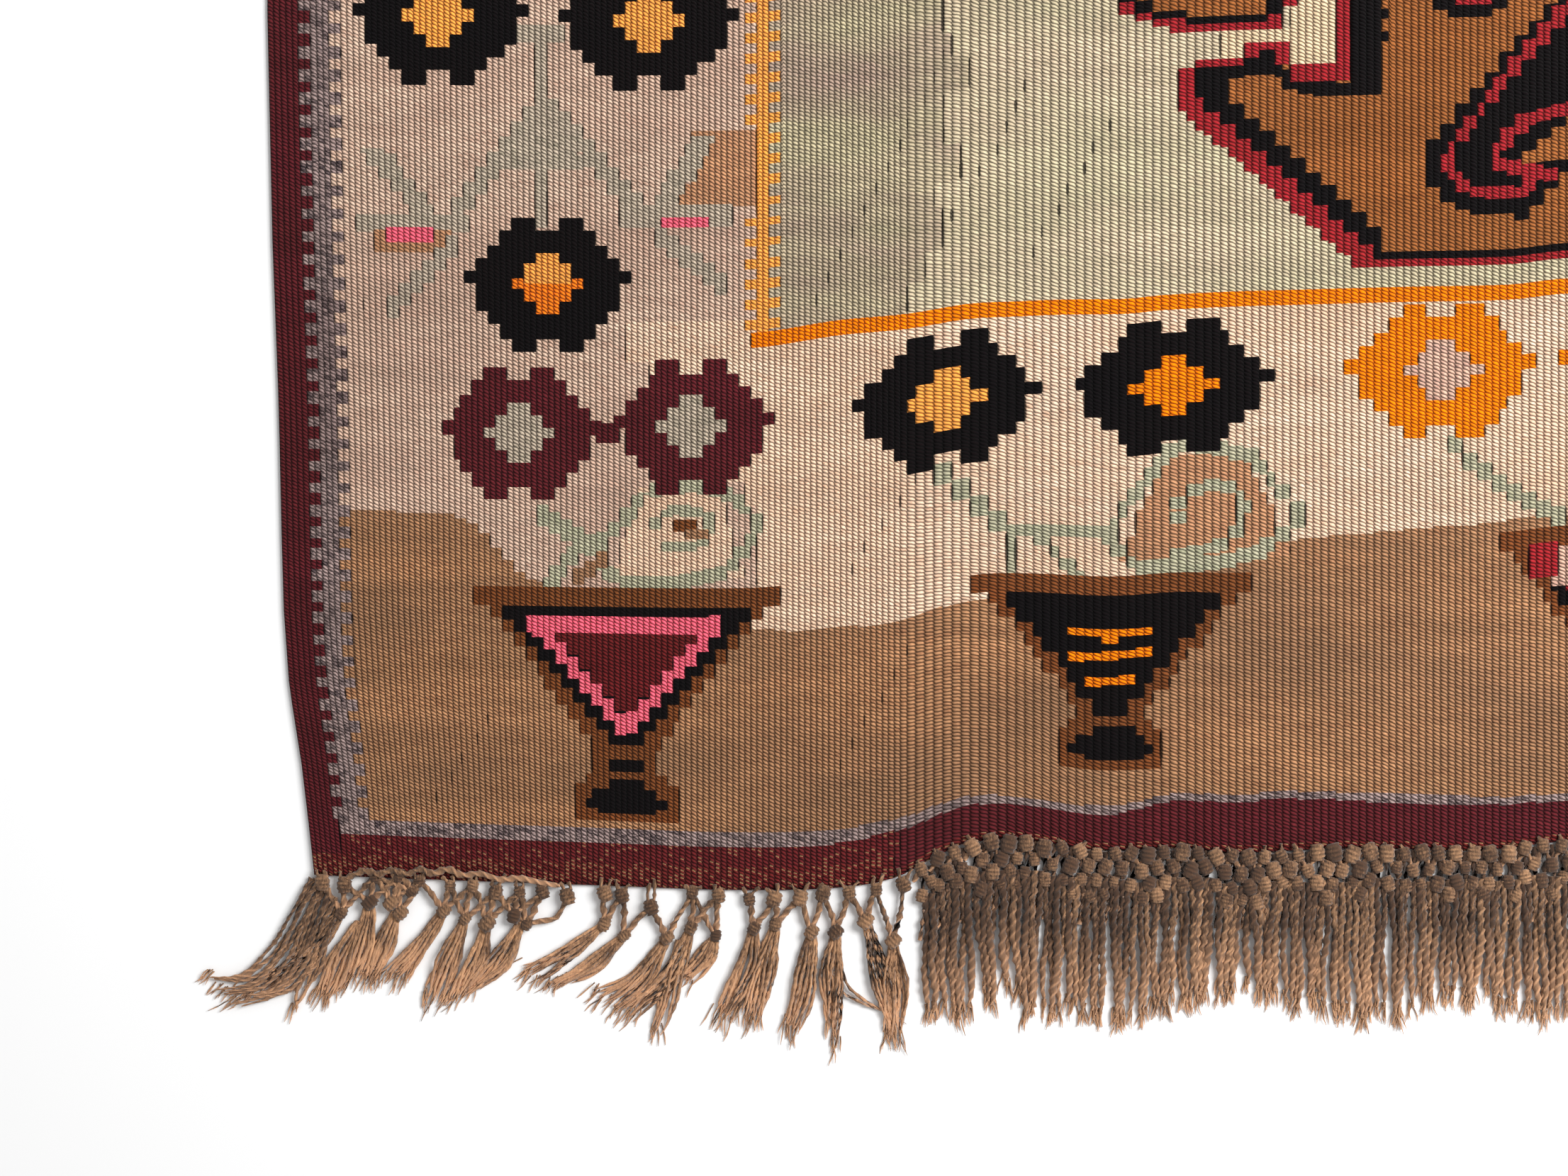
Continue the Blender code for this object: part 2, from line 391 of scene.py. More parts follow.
def border_grounds():
    """Beige ground round the whole border, camel along both hems, and the grey hem line."""
    fill(0, CORNER_END, 0, HEM_LOW, "flecked_burgundy")
    fill(CORNER_END, MIDDLE, 0, HEM_LOW_RIGHT, "flecked_burgundy")
    fill(COMB_RIGHT, MIDDLE, BORDER_LOW, BEIGE_TOP, "beige")
    fill(COMB_RIGHT, FRAME_LEFT, BORDER_LOW, HALFWAY, "grey_beige")
    joined(BEIGE_JOIN, BORDER_LOW, "beige")
    for warp in range(warp_at(COMB_RIGHT), warp_at(MIDDLE), 2):
        left, right = EDGES[warp], EDGES[warp + 2]
        fill(left, right, BORDER_LOW, straight(CAMEL_TOP, (left + right) / 2), "camel")
    for warp in range(warp_at(HEM_LEFT), warp_at(MIDDLE)):
        left, right = EDGES[warp], EDGES[warp + 1]
        middle = straight([row[:2] for row in HEM_LINE], left)
        half = straight([row[::2] for row in HEM_LINE], left) / 2
        fill(left, right, HEM_LOW, middle, "worn_burgundy" if left < CORNER_END else "burgundy")
        fill(left, right, middle - half, middle + half, "grey_heather")


FIELD_JOIN = (  # rows woven, where the paler sage begins across
    (14, 252), (11, 258), (17, 266), (9, 262), (15, 271), (21, 266), (13, 275), (10, 268),
    (24, 263), (16, 270), (12, 262), (38, 268), (60, 262), (90, 270), (120, 258), (140, 274),
    (120, 262), (120, 268),
)
FRAME_TOOTH_PITCH = 8.03
FRAME_TOOTH_TALL = 3.9
FRAME_TEETH = ((185.9, 191), (196, 201.6))  # across, on the line's two sides
FRAME_FIRST_TOOTH = 225.4
END_LINE = (188, 218.3, 223.8)  # left end, low and high of the deeper orange line


def field():
    """Sage field inside its orange line, toothed along the sides and plain at the ends."""
    fill(FIELD_LEFT, MIDDLE, FIELD_LOW, HALFWAY, "field_sage")
    joined(FIELD_JOIN, FIELD_LOW, "pale_sage")
    left, low, high = END_LINE
    fill(FRAME_LEFT, FIELD_LEFT, round(low), HALFWAY, "pale_orange")
    tooth = FRAME_FIRST_TOOTH
    while tooth < TOOTH_END:
        for near, far in FRAME_TEETH:
            fill(near, far, tooth, tooth + FRAME_TOOTH_TALL, "pale_orange")
        tooth += FRAME_TOOTH_PITCH
    fill(left, MIDDLE, low, high, "deep_orange")


TAPER_STEP = 5.6
GOBLET_STEP = 5.8
STUB_STEM = 24  # a stem longer than this has a black stub in it
TRIANGLE = (  # the pink triangle, filled with wine; places from the middle of the goblet's foot
    (slope, ((-37, 79), (0, 34)), (9,), "pink"),
    (slope, ((0, 34), (37, 79)), (9,), "pink"),
    (taper, ((0, 42), (0, 76)), (2, 31, GOBLET_STEP), "wine"),
    tier(39, 74, 81.5, "pink"),
)
BARS = (
    (block, ((-17, 51.4), (16, 55)), (), "deep_orange"),
    (block, ((-4, 48), (3, 51.4)), (), "deep_orange"),
    (slope, ((-17, 42), (17, 45)), (3.6,), "deep_orange"),
    (slope, ((-10, 32), (10, 34)), (3.6,), "deep_orange"),
)
CRIMSON_CUP = (
    (taper, ((0, 40), (0, 88)), (5, 44, GOBLET_STEP), "crimson"),
    tier(38, 72, 88, "lilac_grey"),
    (block, ((-46, 76), (-34, 90)), (), "crimson"),
    tier(6, 72, 88, "crimson"),
)
GOBLETS = (  # middle, foot, rim above it, half width of the bowl, stem, what is on the bowl
    (139, 29, 93, 51, 28, TRIANGLE), (331, 35.5, 76, 44, 19, BARS),
    (541, 30, 96, 47, 28, CRIMSON_CUP),
)


def goblet(centre, foot, rim, half, stem, on_bowl):
    """A black stemmed cup with a rust halo, and what is woven on its bowl."""
    halo = ((half + 11, rim - 8, rim), (13, 14, stem), (21, -3, 12), (16, 12, 16))
    body = [(8, 10, 14), (13, 6, 10), (17, 2, 6), (12, 0, 2)]
    if stem > STUB_STEM:
        body.append((7, 17, 22))
    parts = (
        (taper, ((0, stem - 2), (0, rim - 7)), (11, half + 6, GOBLET_STEP), "rust"),
        *(tier(*sizes, "rust") for sizes in halo),
        (taper, ((0, stem), (0, rim - 8)), (5, half, GOBLET_STEP), "black"),
        *(tier(*sizes, "black") for sizes in body),
        *on_bowl,
    )
    draw(parts, centre, foot)


SCROLL_RING = (
    (128, 140), (138, 150), (148, 161), (163, 164), (178, 161), (186, 155), (192, 147),
    (187, 139), (180, 129), (160, 124), (136, 124), (130, 131), (128, 140),
)
SCROLL_HEART = ((150, 146), (156, 154), (171, 153), (174, 146), (168, 139), (154, 139))
FIRST_SCROLL = (  # over the corner goblet, with a forked stem at its left
    (taper, ((160, 126), (160, 163)), (26, 16, TAPER_STEP), "beige"),
    (band, SCROLL_RING, (5, 6, 0), "scroll_green"),
    (band, SCROLL_HEART, (4.5, 4.5, 0), "scroll_green"),
    (block, ((158, 145), (168, 150)), (), "rust"),
    (block, ((163, 142), (172, 146)), (), "camel"),
    (slope, ((103, 154), (128, 137)), (9,), "scroll_green"),
    (lean, ((119, 139), (108, 121)), (7,), "scroll_green"),
    (lean, ((127, 139), (134, 125)), (6,), "scroll_green"),
    (slope, ((117, 124), (131, 134)), (7,), "camel"),
)
LARGE_RING = (
    (331, 131), (338, 143), (345, 151), (351, 160), (358, 164), (372, 163), (385, 159),
    (391, 152), (396, 146), (402, 140), (406, 135), (402, 129), (395, 126), (389, 120),
    (366, 115), (341, 115), (331, 126), (331, 132),
)
LARGE_HEART = (
    (353, 119), (370, 122), (378, 126), (383, 136), (381, 145), (373, 148), (361, 144),
    (354, 137), (359, 133),
)
LARGE_SCROLL = (  # the wide scroll with a taupe heart
    (taper, ((368, 118), (368, 160)), (34, 16, TAPER_STEP), "taupe"),
    (band, LARGE_RING, (5.5, 6, 0), "scroll_green"),
    (band, LARGE_HEART, (5, 5, 0), "scroll_green"),
)
STEMS = (  # between the rosettes and the two wide scrolls
    (slope, ((261, 162), (270, 151), (277, 144), (285, 135), (291, 131)), (9,), "scroll_green"),
    (block, ((288, 108), (295, 132)), (), "scroll_green"),
    (block, ((288, 128), (330, 133)), (), "scroll_green"),
    (lean, ((303, 129), (318, 109)), (6,), "scroll_green"),
    (slope, ((463, 168), (469, 157), (506, 130)), (7,), "scroll_green"),
)
SCROLL_SHIFT = 195  # from the first wide scroll to the second
PLANT = (  # a stem that forks over a rosette, with leaves and pink dashes
    (block, ((103.1, 244), (112.7, 256)), (), "pale_orange"),
    (block, ((98.3, 244), (117.5, 251.5)), (), "pale_orange"),
    (block, ((161, 274), (190, 283)), (), "taupe"),
    (lean, ((175.5, 304), (175.5, 283)), (21,), "taupe"),
    (block, ((181, 283), (190, 304)), (), "taupe"),
    (taper, ((107, 289), (107, 313)), (18, 4, TAPER_STEP), "sage"),
    (block, ((104, 266), (109.2, 346)), (), "sage"),
    (block, ((97, 339), (116, 345.5)), (), "sage"),
    (slope, ((104, 312), (70, 269)), (11,), "sage"),
    (slope, ((109, 314), (143, 275)), (11,), "sage"),
    (lean, ((40, 297), (62, 270)), (9.5,), "sage"),
    (lean, ((171, 302), (154, 274)), (9.5,), "sage"),
    (block, ((34, 264), (77, 271)), (), "sage"),
    (block, ((40, 256), (70, 265)), (), "taupe"),
    (slope, ((74, 262), (44, 231)), (9,), "sage"),
    (block, ((137, 265.5), (181, 275)), (), "sage"),
    (slope, ((150, 265), (180, 241)), (9,), "sage"),
    (block, ((45, 259.5), (63, 266)), (), "pink"),
    (block, ((154, 266), (173, 270)), (), "pink"),
)
PLANTS = (  # rows above the first, ring below the fork, rings at the top, their hearts
    (0, "black", "black", "pale_orange"), (249, "burgundy", "deep_orange", "lilac_grey"),
    (498, "black", "burgundy", "sage"),
)
ROSETTES = (  # middle across, middle up, half width, ring, heart
    (107.9, 432, 33.5, "burgundy", "sage"), (107.9, 681, 33.5, "burgundy", "sage"),
    (107.9, 915, 33.5, "burgundy", "sage"), (97.5, 184.5, 32.5, "burgundy", "sage"),
    (165.8, 187, 32.0, "burgundy", "sage"), (266, 187, 37, "black", "pale_orange"),
    (355.5, 187.5, 40, "black", "deep_orange"), (461.5, 190.5, 37.5, "deep_orange", "lilac_grey"),
    (546, 190.5, 37.5, "deep_orange", "lilac_grey"),
)
ROSETTE_LINK = (block, ((128, 181), (136, 189)), (), "burgundy")


def plant(up, low_ring, ring, heart):
    """A forked plant with one rosette below and two at the top."""
    rosette(107.9, 243.5 + up, 33.5, low_ring, "light_orange")
    draw(PLANT, 0, up)
    rosette(66.9, 349 + up, 33.5, ring, heart)
    rosette(148.5, 347 + up, 35, ring, heart)


# The large figure: half of its outline, from the bottom middle round to its upper middle line.
FIGURE_MIDDLE = 372
FIGURE = (
    (610, 232), (430, 232), (359, 297), (357, 311), (365, 315), (382, 315), (384, 321),
    (401, 321), (403, 312), (420, 312), (421, 318), (421, 372), (610, 372),
)
LOBE = (
    (328, 346), (338, 334), (350, 329), (364, 327), (391, 326), (400, 331), (403, 340),
    (403, 372), (328, 372),
)
NOTCH_LINE = ((369, 310), (380, 311), (398, 311), (404, 303), (432, 302), (438, 306))
SMALL_FORM = ((458, 372), (458, 334), (466, 329), (480, 329), (488, 334), (488, 372))
WING = (
    (610, 372), (540, 372), (499, 328), (470, 296), (454, 277), (457, 264), (468, 254),
    (494, 250), (506, 262), (512, 266), (560, 266), (610, 262),
)
WING_LINE = (
    (548, 368), (512, 332), (487, 307), (463, 276), (465, 269), (472, 261), (493, 260), (499, 267),
)
SECOND_LINE = (
    (560, 292), (512, 291), (494, 288), (485, 280), (482, 272), (496, 268), (506, 265),
)
NOTCH = ((401, 314), (406, 312), (419, 312), (421, 318), (421, 372), (401, 372))
GOLDEN_TIP = ((493, 271, 276), (498, 276, 280), (504, 280, 284), (510, 284, 288))
UNDER_LOBE = ((375, 316), (426, 316), (426, 326), (375, 326))
FIGURE_LAYERS = (  # outline, yarn, how far the yarn stays inside it aside and above
    (NOTCH, "cream", 0.0, 0.0), (UNDER_LOBE, "cream", 0.0, 0.0), (FIGURE, "crimson", 0.0, 0.0),
    (FIGURE, "black", 6.0, 3.0), (FIGURE, "golden_brown", 18.0, 6.0), (WING, "black", 0.0, 0.0),
    (LOBE, "crimson", 0.0, 0.0), (LOBE, "black", 5.0, 3.6), (LOBE, "golden_brown", 11.0, 7.0),
    (SMALL_FORM, "black", 0.0, 0.0),
)
LINE_SIZES = (5, 4.4, 4.0)
FIGURE_PARTS = (
    (band, WING_LINE, LINE_SIZES, "crimson"),
    (band, SECOND_LINE, LINE_SIZES, "crimson"),
    (band, NOTCH_LINE, LINE_SIZES, "black"),
    (block, ((427, 300), (437.5, 313)), (), "black"),
    (block, ((402, 306.4), (427, 313)), (), "crimson"),
    *((block, ((418.5, low), (421.5, low + 4)), (), "crimson") for low in (318, 327, 336, 345)),
    (slope, ((371, 301), (438, 239.5)), (11,), "black"),
    (slope, ((360, 300.5), (431, 236.5)), (9,), "crimson"),
    (block, ((466, 335), (482, 345)), (), "crimson"),
    *((block, ((left, low), (MIDDLE, high)), (), "golden_brown") for left, low, high in GOLDEN_TIP),
)
BLACK_TEETH = tuple(
    (block, ((436, low), (441, low + 4)), (), "black")
    for low in (321, 330, 339, 348, 398, 407, 416, 425)
)
FIGURE_STEP = 2.8
FIGURE_RISES = (0, 543)  # rows from the first figure to each


def inside(outline, across, high):
    """Whether a point lies inside an outline."""
    found = False
    for (x0, y0), (x1, y1) in zip(outline, outline[1:] + outline[:1]):
        if (y0 > high) != (y1 > high) and across < x0 + (high - y0) * (x1 - x0) / (y1 - y0):
            found = not found
    return found


def blocks(outline, aside, above):
    """Blocks of two warps that fill an outline, kept aside and above from its own edge."""
    probes = ((aside, 0), (-aside, 0), (0, above), (0, -above))
    start = min(across for across, _ in outline)
    count = round((FIGURE_MIDDLE - min(high for _, high in outline)) / FIGURE_STEP)
    for warp in range(warp_at(start), warp_at(MIDDLE + 2), 2):
        left, right = EDGES[warp], EDGES[warp + 2]
        for number in range(count):
            low = FIGURE_MIDDLE - (number + 1) * FIGURE_STEP
            middle = (min((left + right) / 2, MIDDLE - 1), low + FIGURE_STEP / 2)
            kept = all(
                inside(outline, middle[0] + x, middle[1] + y)
                or middle[0] + x > MIDDLE - 1
                or middle[1] + y > FIGURE_MIDDLE - 1
                for x, y in probes
            )
            if kept and inside(outline, *middle):
                yield (left, low), (right, low + FIGURE_STEP)


def figure(up):
    """The large stepped figure: crimson and black outlines round golden brown, and its wings."""
    layers = [
        (block, corners, (), yarn)
        for outline, yarn, aside, above in FIGURE_LAYERS
        for corners in blocks(outline, aside, above)
    ]
    for parts in (layers, FIGURE_PARTS):
        draw(parts, 0, up)
        draw(parts, 0, up, FIGURE_MIDDLE)
    draw(BLACK_TEETH, 0, up)


def weave_pattern():
    """Paints the whole chart, ground first."""
    border_grounds()
    side_comb()
    field()
    draw(FIRST_SCROLL)
    draw(LARGE_SCROLL)
    draw(LARGE_SCROLL, SCROLL_SHIFT)
    draw(STEMS)
    for row in GOBLETS:
        goblet(*row)
    for row in PLANTS:
        plant(*row)
    for row in ROSETTES:
        rosette(*row)
    draw((ROSETTE_LINK,))
    for up in FIGURE_RISES:
        figure(up)


def cuts_of(warp):
    """Rows at which one warp's yarn changes, and those that let the rib bend."""
    changes = np.flatnonzero(np.diff(chart[:, warp])) + 1
    inward = min(warp, WARPS - 1 - warp)
    bends = EDGE_CUTS if inward < EDGE_WARPS else BORDER_CUTS if inward < BORDER_WARPS else ()
    return sorted({*changes.tolist(), *PLAIN_CUTS, *bends})


def float_count(across, along, warp):
    """Number of weft floats woven up to a place; every second rib is half a float ahead."""
    return along / straight(FLOAT_PITCH, across) + 0.5 * (warp % 2)


class ClothMesh:
    """Gathers the rug's corners and faces, and the values that the weave reads at them."""

    def __init__(self):
        self.points, self.known = [], {}
        self.faces, self.yarns = [], []
        self.weave, self.slits = [], []

    def point(self, across, row, height):
        """Number of the corner at a place, made when it is first asked for."""
        key = (round(across, 3), row, round(height * 1e5))
        if key not in self.known:
            self.known[key] = len(self.points)
            self.points.append(place(across / 1000, row / 1000, height))
        return self.known[key]

    def face(self, corners, yarn):
        """One face from corners of (point, rib count, float count, rows from a slit's ends)."""
        self.faces.append([corner[0] for corner in corners])
        self.yarns.append(yarn)
        self.weave += [(corner[1], corner[2]) for corner in corners]
        self.slits += [corner[3] for corner in corners]


def slit_rows(left_column, right_column):
    """Rows of the joins between two warps that stay open as slits."""
    differ = left_column != right_column
    ends = np.flatnonzero(np.diff(np.concatenate(([0], differ.astype(int), [0]))))
    return [(a, b) for a, b in zip(ends[::2], ends[1::2]) if b - a >= SLIT_SHORTEST]


def lazy_slits():
    """Rows of the small slits along the slanting runs, for each warp edge."""
    found = {}
    for (first, low), (last, high) in LAZY_LINES:
        for row in np.arange(low, high, LAZY_PITCH):
            edge = warp_at(first + (last - first) * (row - low) / (high - low))
            found.setdefault(edge, []).append((row, row + LAZY_TALL))
    return found


def crest_height(row):
    """Height of a rib's middle line, lower at both hems."""
    return THICK - (RIM_DROP if row in (0, LONG) else 0.0)


def cloth_mesh():
    """The woven cloth: a ridge for every warp, cut where its yarn changes, and a flat underside."""
    made = ClothMesh()
    cuts = [cuts_of(warp) for warp in range(WARPS)]
    lines = [cuts[0]] + [sorted({*a, *b}) for a, b in zip(cuts, cuts[1:])] + [cuts[-1]]
    slits, deep = [[] for _ in lines], [[] for _ in lines]
    lazy = lazy_slits()
    for edge in range(1, WARPS):
        slits[edge] = slit_rows(chart[:, edge - 1], chart[:, edge])
        deep[edge] = [(low, high) for low, high in slits[edge] if high - low >= SLIT_DEEP]
        for low, high in deep[edge]:
            if not any(low < row < high for row in lines[edge]):
                lines[edge] += [low + SLIT_END, high - SLIT_END]
        lines[edge].sort()
        slits[edge] += lazy.get(edge, [])

    def corner(point, count, row, warp, slit):
        floats = float_count(EDGES[warp] / 1000, row / 1000, warp)
        return point, count, floats, (row - slit[0], slit[1] - row)

    def valley(edge, row, warp, slit):
        """Corner in the dip beside a rib, deeper where a long slit opens there."""
        if edge in (0, WARPS):
            height = THICK / 2
        else:
            opened = any(a < row < b for a, b in deep[edge])
            height = THICK - (SLIT_DROP if opened else VALLEY_DROP)
        if row in (0, LONG):
            height = min(height, THICK - RIM_DROP)
        return corner(made.point(EDGES[edge], row, height), edge, row, warp, slit)

    for warp in range(WARPS):
        middle = (EDGES[warp] + EDGES[warp + 1]) / 2
        for low, high in zip(cuts[warp], cuts[warp][1:]):
            for edge in (warp + 1, warp):
                slit = widest_slit(slits[edge], low, high)
                crest = [
                    corner(made.point(middle, row, crest_height(row)), warp + 0.5, row, warp, slit)
                    for row in (low, high)
                ]
                side = [valley(edge, r, warp, slit) for r in lines[edge] if low <= r <= high]
                ring = [crest[0], *side, crest[1]]
                made.face(ring if edge > warp else ring[::-1], chart[low, warp])
    made.ridged = sum(len(face) for face in made.faces)
    underside(made, cuts)
    return made


def widest_slit(slits, low, high):
    """The slit that takes up most of a face's rows, or one that never opens."""
    shares = [(min(high, end) - max(low, start), start, end) for start, end in slits]
    share, start, end = max(shares, default=(0, 0, 0))
    return (start, end) if share > 0 else NO_SLIT


def underside(made, cuts):
    """Flat underside in strips of four warps, and the rim that joins it to the ridges."""
    strips = [(warp, min(warp + UNDER_WARPS, WARPS)) for warp in range(0, WARPS, UNDER_WARPS)]
    rows = [cuts[warp] for warp, _ in strips]
    rows[-1] = cuts[-1]
    colours = [chart[:, warp] for warp, _ in strips]
    lines = [rows[0]] + [sorted({*a, *b}) for a, b in zip(rows, rows[1:])] + [rows[-1]]

    def corner(edge, row, warp):
        floats = float_count(EDGES[warp] / 1000, row / 1000, warp)
        return made.point(EDGES[edge], row, 0.0), edge, floats, CLOSED

    def top(edge, row, warp):
        """A corner of the ridged side's rim, made before."""
        height = THICK / 2 if edge in (0, WARPS) else THICK - SLIT_DROP
        for drop in (height, THICK - RIM_DROP, THICK - VALLEY_DROP, THICK - SLIT_DROP):
            key = (round(EDGES[edge], 3), row, round(drop * 1e5))
            if key in made.known:
                floats = float_count(EDGES[warp] / 1000, row / 1000, warp)
                return made.known[key], edge, floats, CLOSED

    for number, (first, last) in enumerate(strips):
        for low, high in zip(rows[number], rows[number][1:]):
            left = [corner(first, r, first) for r in lines[number] if low <= r <= high]
            right = [corner(last, r, first) for r in lines[number + 1] if low <= r <= high]
            made.face([*left, *right[::-1]], colours[number][low])
        for row, turn in ((0, 1), (LONG, -1)):
            upper = []
            for warp in range(first, last):
                upper.append(top(warp, row, first))
                middle = (EDGES[warp] + EDGES[warp + 1]) / 2
                crest = made.point(middle, row, crest_height(row))
                upper.append((crest, warp + 0.5, upper[-1][2], CLOSED))
            upper.append(top(last, row, first))
            ring = [corner(first, row, first), corner(last, row, first), *upper[::-1]]
            made.face(ring[::turn], colours[number][min(row, LONG - 1)])
    for edge, column, turn in ((0, rows[0], -1), (WARPS, rows[-1], 1)):
        warp = min(edge, WARPS - 1)
        for low, high in zip(column, column[1:]):
            ring = [corner(edge, low, warp), corner(edge, high, warp)]
            ring += [top(edge, high, warp), top(edge, low, warp)]
            made.face(ring[::turn], chart[low, warp])


class Wiring:
    """Short ways to add and join nodes in one tree."""

    def __init__(self, tree):
        self.tree = tree

    def join(self, source, target):
        if hasattr(source, "is_output"):
            self.tree.links.new(source, target)
        else:
            target.default_value = source

    def node(self, kind, **given):
        made = self.tree.nodes.new(kind)
        for name, value in given.items():
            if name in made.inputs:
                self.join(value, made.inputs[name])
            else:
                setattr(made, name, value)
        return made

    def maths(self, operation, first, second=None, third=None, clamp=False):
        made = self.node("ShaderNodeMath", operation=operation, use_clamp=clamp)
        for number, value in enumerate((first, second, third)):
            if value is not None:
                self.join(value, made.inputs[number])
        return made.outputs[0]

    def times(self, first, second, clamp=False):
        return self.maths("MULTIPLY", first, second, clamp=clamp)

    def less(self, first, second, clamp=False):
        return self.maths("SUBTRACT", first, second, clamp=clamp)

    def spread(self, value, gain, base, clamp=False):
        """A value's distance from a half, made larger or smaller, on top of a base."""
        return self.maths("MULTIPLY_ADD", self.less(value, 0.5), gain, base, clamp=clamp)

    def point(self, x, y, z=0.0):
        return self.node("ShaderNodeCombineXYZ", X=x, Y=y, Z=z).outputs["Vector"]

    def parts(self, vector):
        return self.node("ShaderNodeSeparateXYZ", Vector=vector).outputs

    def on_map(self, name):
        return self.parts(self.node("ShaderNodeUVMap", uv_map=name).outputs["UV"])

    def stretched(self, at, scale, location=(0.0, 0.0, 0.0)):
        made = self.node("ShaderNodeMapping", Vector=at, Location=location, Scale=scale)
        return made.outputs["Vector"]

    def noise(self, at, detail, roughness, scale=1.0):
        made = self.node("ShaderNodeTexNoise", Vector=at, Scale=scale)
        made.inputs["Detail"].default_value = detail
        made.inputs["Roughness"].default_value = roughness
        return made.outputs["Fac"]

    def luck(self, at):
        """A value from 0 to 1, the same all over a cell with whole numbers."""
        made = self.node("ShaderNodeTexWhiteNoise", noise_dimensions="3D", Vector=at)
        return made.outputs["Value"]

    def blend(self, share, first, second):
        made = self.node("ShaderNodeMix", data_type="RGBA")
        self.join(share, made.inputs["Factor"])
        self.join(first, made.inputs[6])
        self.join(second, made.inputs[7])
        return made.outputs[2]

    def dimmed(self, colour, by):
        made = self.node("ShaderNodeVectorMath", operation="SCALE", Scale=by)
        self.join(colour, made.inputs[0])
        return made.outputs["Vector"]


# The weft's beads, in shares of a rib's width and of a float's length.
BEAD_SHIFT = 0.5  # how unevenly the floats lie along a rib
BEAD_LEAN = 0.6  # how far a bead climbs from one side of its rib to the other
BEAD_SWAY = 0.3
BEAD_SIDES = 2.8  # the higher the power, the flatter a bead's top
BEAD_ENDS = 1.7
BEAD_TOP = 0.75  # height from which a bead gets the full painted highlight
PAINTED_BEAD_LIGHT = (0.2, 1.25)  # painted shade between two beads, and painted highlight on top of one
LUCK_LIGHT = (0.34, 0.83)  # how far the beads' brightness varies, and the least of it
BEAD_DEPTH = 0.0007
FIBRE_DEPTH = 0.35  # relief of the fibres, as a share of a bead's
FIBRES_ON_BEAD = (2.2, 5.0)
ROUGHNESS = (0.2, 0.78)  # what the fibres add to it, and the least of it
ROW_STREAKS = (5.0, 70.0, 1.0)  # for a metre: long across, short along
DYE_BANDS = (8.0, 24.0, 1.0)
DYE_BANDS_FROM = (3.1, 7.7, 0.0)
DARK_SHARE = 0.35  # of the darker wool, where the mix is even
SLIT_LUCK = (0.13, 0.12)  # how far a slit's half width varies, and the least of it
SLIT_STRETCH = 0.2  # of one float, so a slit's width changes every fifth float
SLIT_SHARP = 14.0
SLIT_SHADE = 0.76
FLECK_ALONG = 0.29  # a fleck lies this far from the middle of a bead
FLECK_ACROSS = 0.27  # and this near to the middle of the rib
FLECK_LIGHT = 0.8
WEFT_INPUTS = (
    ("Light", "NodeSocketColor", (0.6, 0.5, 0.4, 1)),
    ("Dark", "NodeSocketColor", (0.3, 0.25, 0.2, 1)),
    ("Second Dye", "NodeSocketColor", (0.4, 0.3, 0.25, 1)),
    ("Second Share", "NodeSocketFloat", 0.5),
    ("Heather", "NodeSocketFloat", 0.3),
    ("Abrash", "NodeSocketFloat", 0.2),
    ("Warp Colour", "NodeSocketColor", (0.35, 0.2, 0.1, 1)),
    ("Warp Flecks", "NodeSocketFloat", 0.0),
)
WEFT_OUTPUTS = (
    ("Color", "NodeSocketColor"), ("Roughness", "NodeSocketFloat"), ("Normal", "NodeSocketVector"),
)


def bead_shape(build, rib, floats):
    """A bead's height, the place across and along it, and the floats up to its slanting row."""
    uneven = build.noise(build.point(build.times(rib, 0.9), build.times(floats, 0.6)), 1.0, 0.5)
    across = build.less(build.maths("FRACT", rib), 0.5)
    leaning = build.maths("MULTIPLY_ADD", across, BEAD_LEAN, build.spread(uneven, BEAD_SHIFT, floats))
    along = build.less(build.maths("FRACT", leaning), 0.5)
    swayed = build.maths("MULTIPLY_ADD", along, BEAD_SWAY, across)
    sides, ends = (
        build.maths("POWER", build.maths("ABSOLUTE", build.times(place_in, 2.0)), power)
        for place_in, power in ((swayed, BEAD_SIDES), (along, BEAD_ENDS))
    )
    bead = build.times(build.less(1.0, sides, clamp=True), build.less(1.0, ends))
    return bead, across, along, leaning


def dyed_wool(build, given, rib, floats, chance, fibres):
    """Colour of the wool, mixed from its light, its dark and its second dye, and its abrash."""
    where = build.node("ShaderNodeTexCoord").outputs["Object"]
    wander = build.noise(build.point(build.times(rib, 0.16), build.times(floats, 0.55)), 3.0, 0.65)
    mixed = build.spread(fibres, 2.4, 0.5)
    mixed = build.spread(wander, 1.6, mixed)
    mixed = build.spread(chance, 0.9, mixed)
    share = build.spread(mixed, given["Heather"], DARK_SHARE, clamp=True)
    base = build.blend(share, given["Light"], given["Dark"])
    bands = build.noise(build.stretched(where, DYE_BANDS, DYE_BANDS_FROM), 4.0, 0.6)
    second = build.times(build.spread(bands, 4.0, 0.5, clamp=True), given["Second Share"])
    streaks = build.noise(build.stretched(where, ROW_STREAKS), 2.0, 0.5)
    return build.blend(second, base, given["Second Dye"]), build.spread(streaks, given["Abrash"], 1.0)


def slit_gap(build, rib, floats, across):
    """How open the slit beside a rib is, from 0 to 1, inside the ends that SlitMap gives."""
    ends = build.on_map("SlitMap")
    inward = build.maths("MINIMUM", ends["X"], ends["Y"])
    opened = build.times(build.less(inward, 0.3), 0.8, clamp=True)
    stretch = build.maths("FLOOR", build.times(floats, SLIT_STRETCH))
    luck = build.luck(build.point(build.maths("ROUND", rib), stretch, 3.0))
    width = build.times(build.maths("MULTIPLY_ADD", luck, *SLIT_LUCK), opened)
    from_edge = build.less(0.5, build.maths("ABSOLUTE", across))
    return build.times(build.less(width, from_edge), SLIT_SHARP, clamp=True)


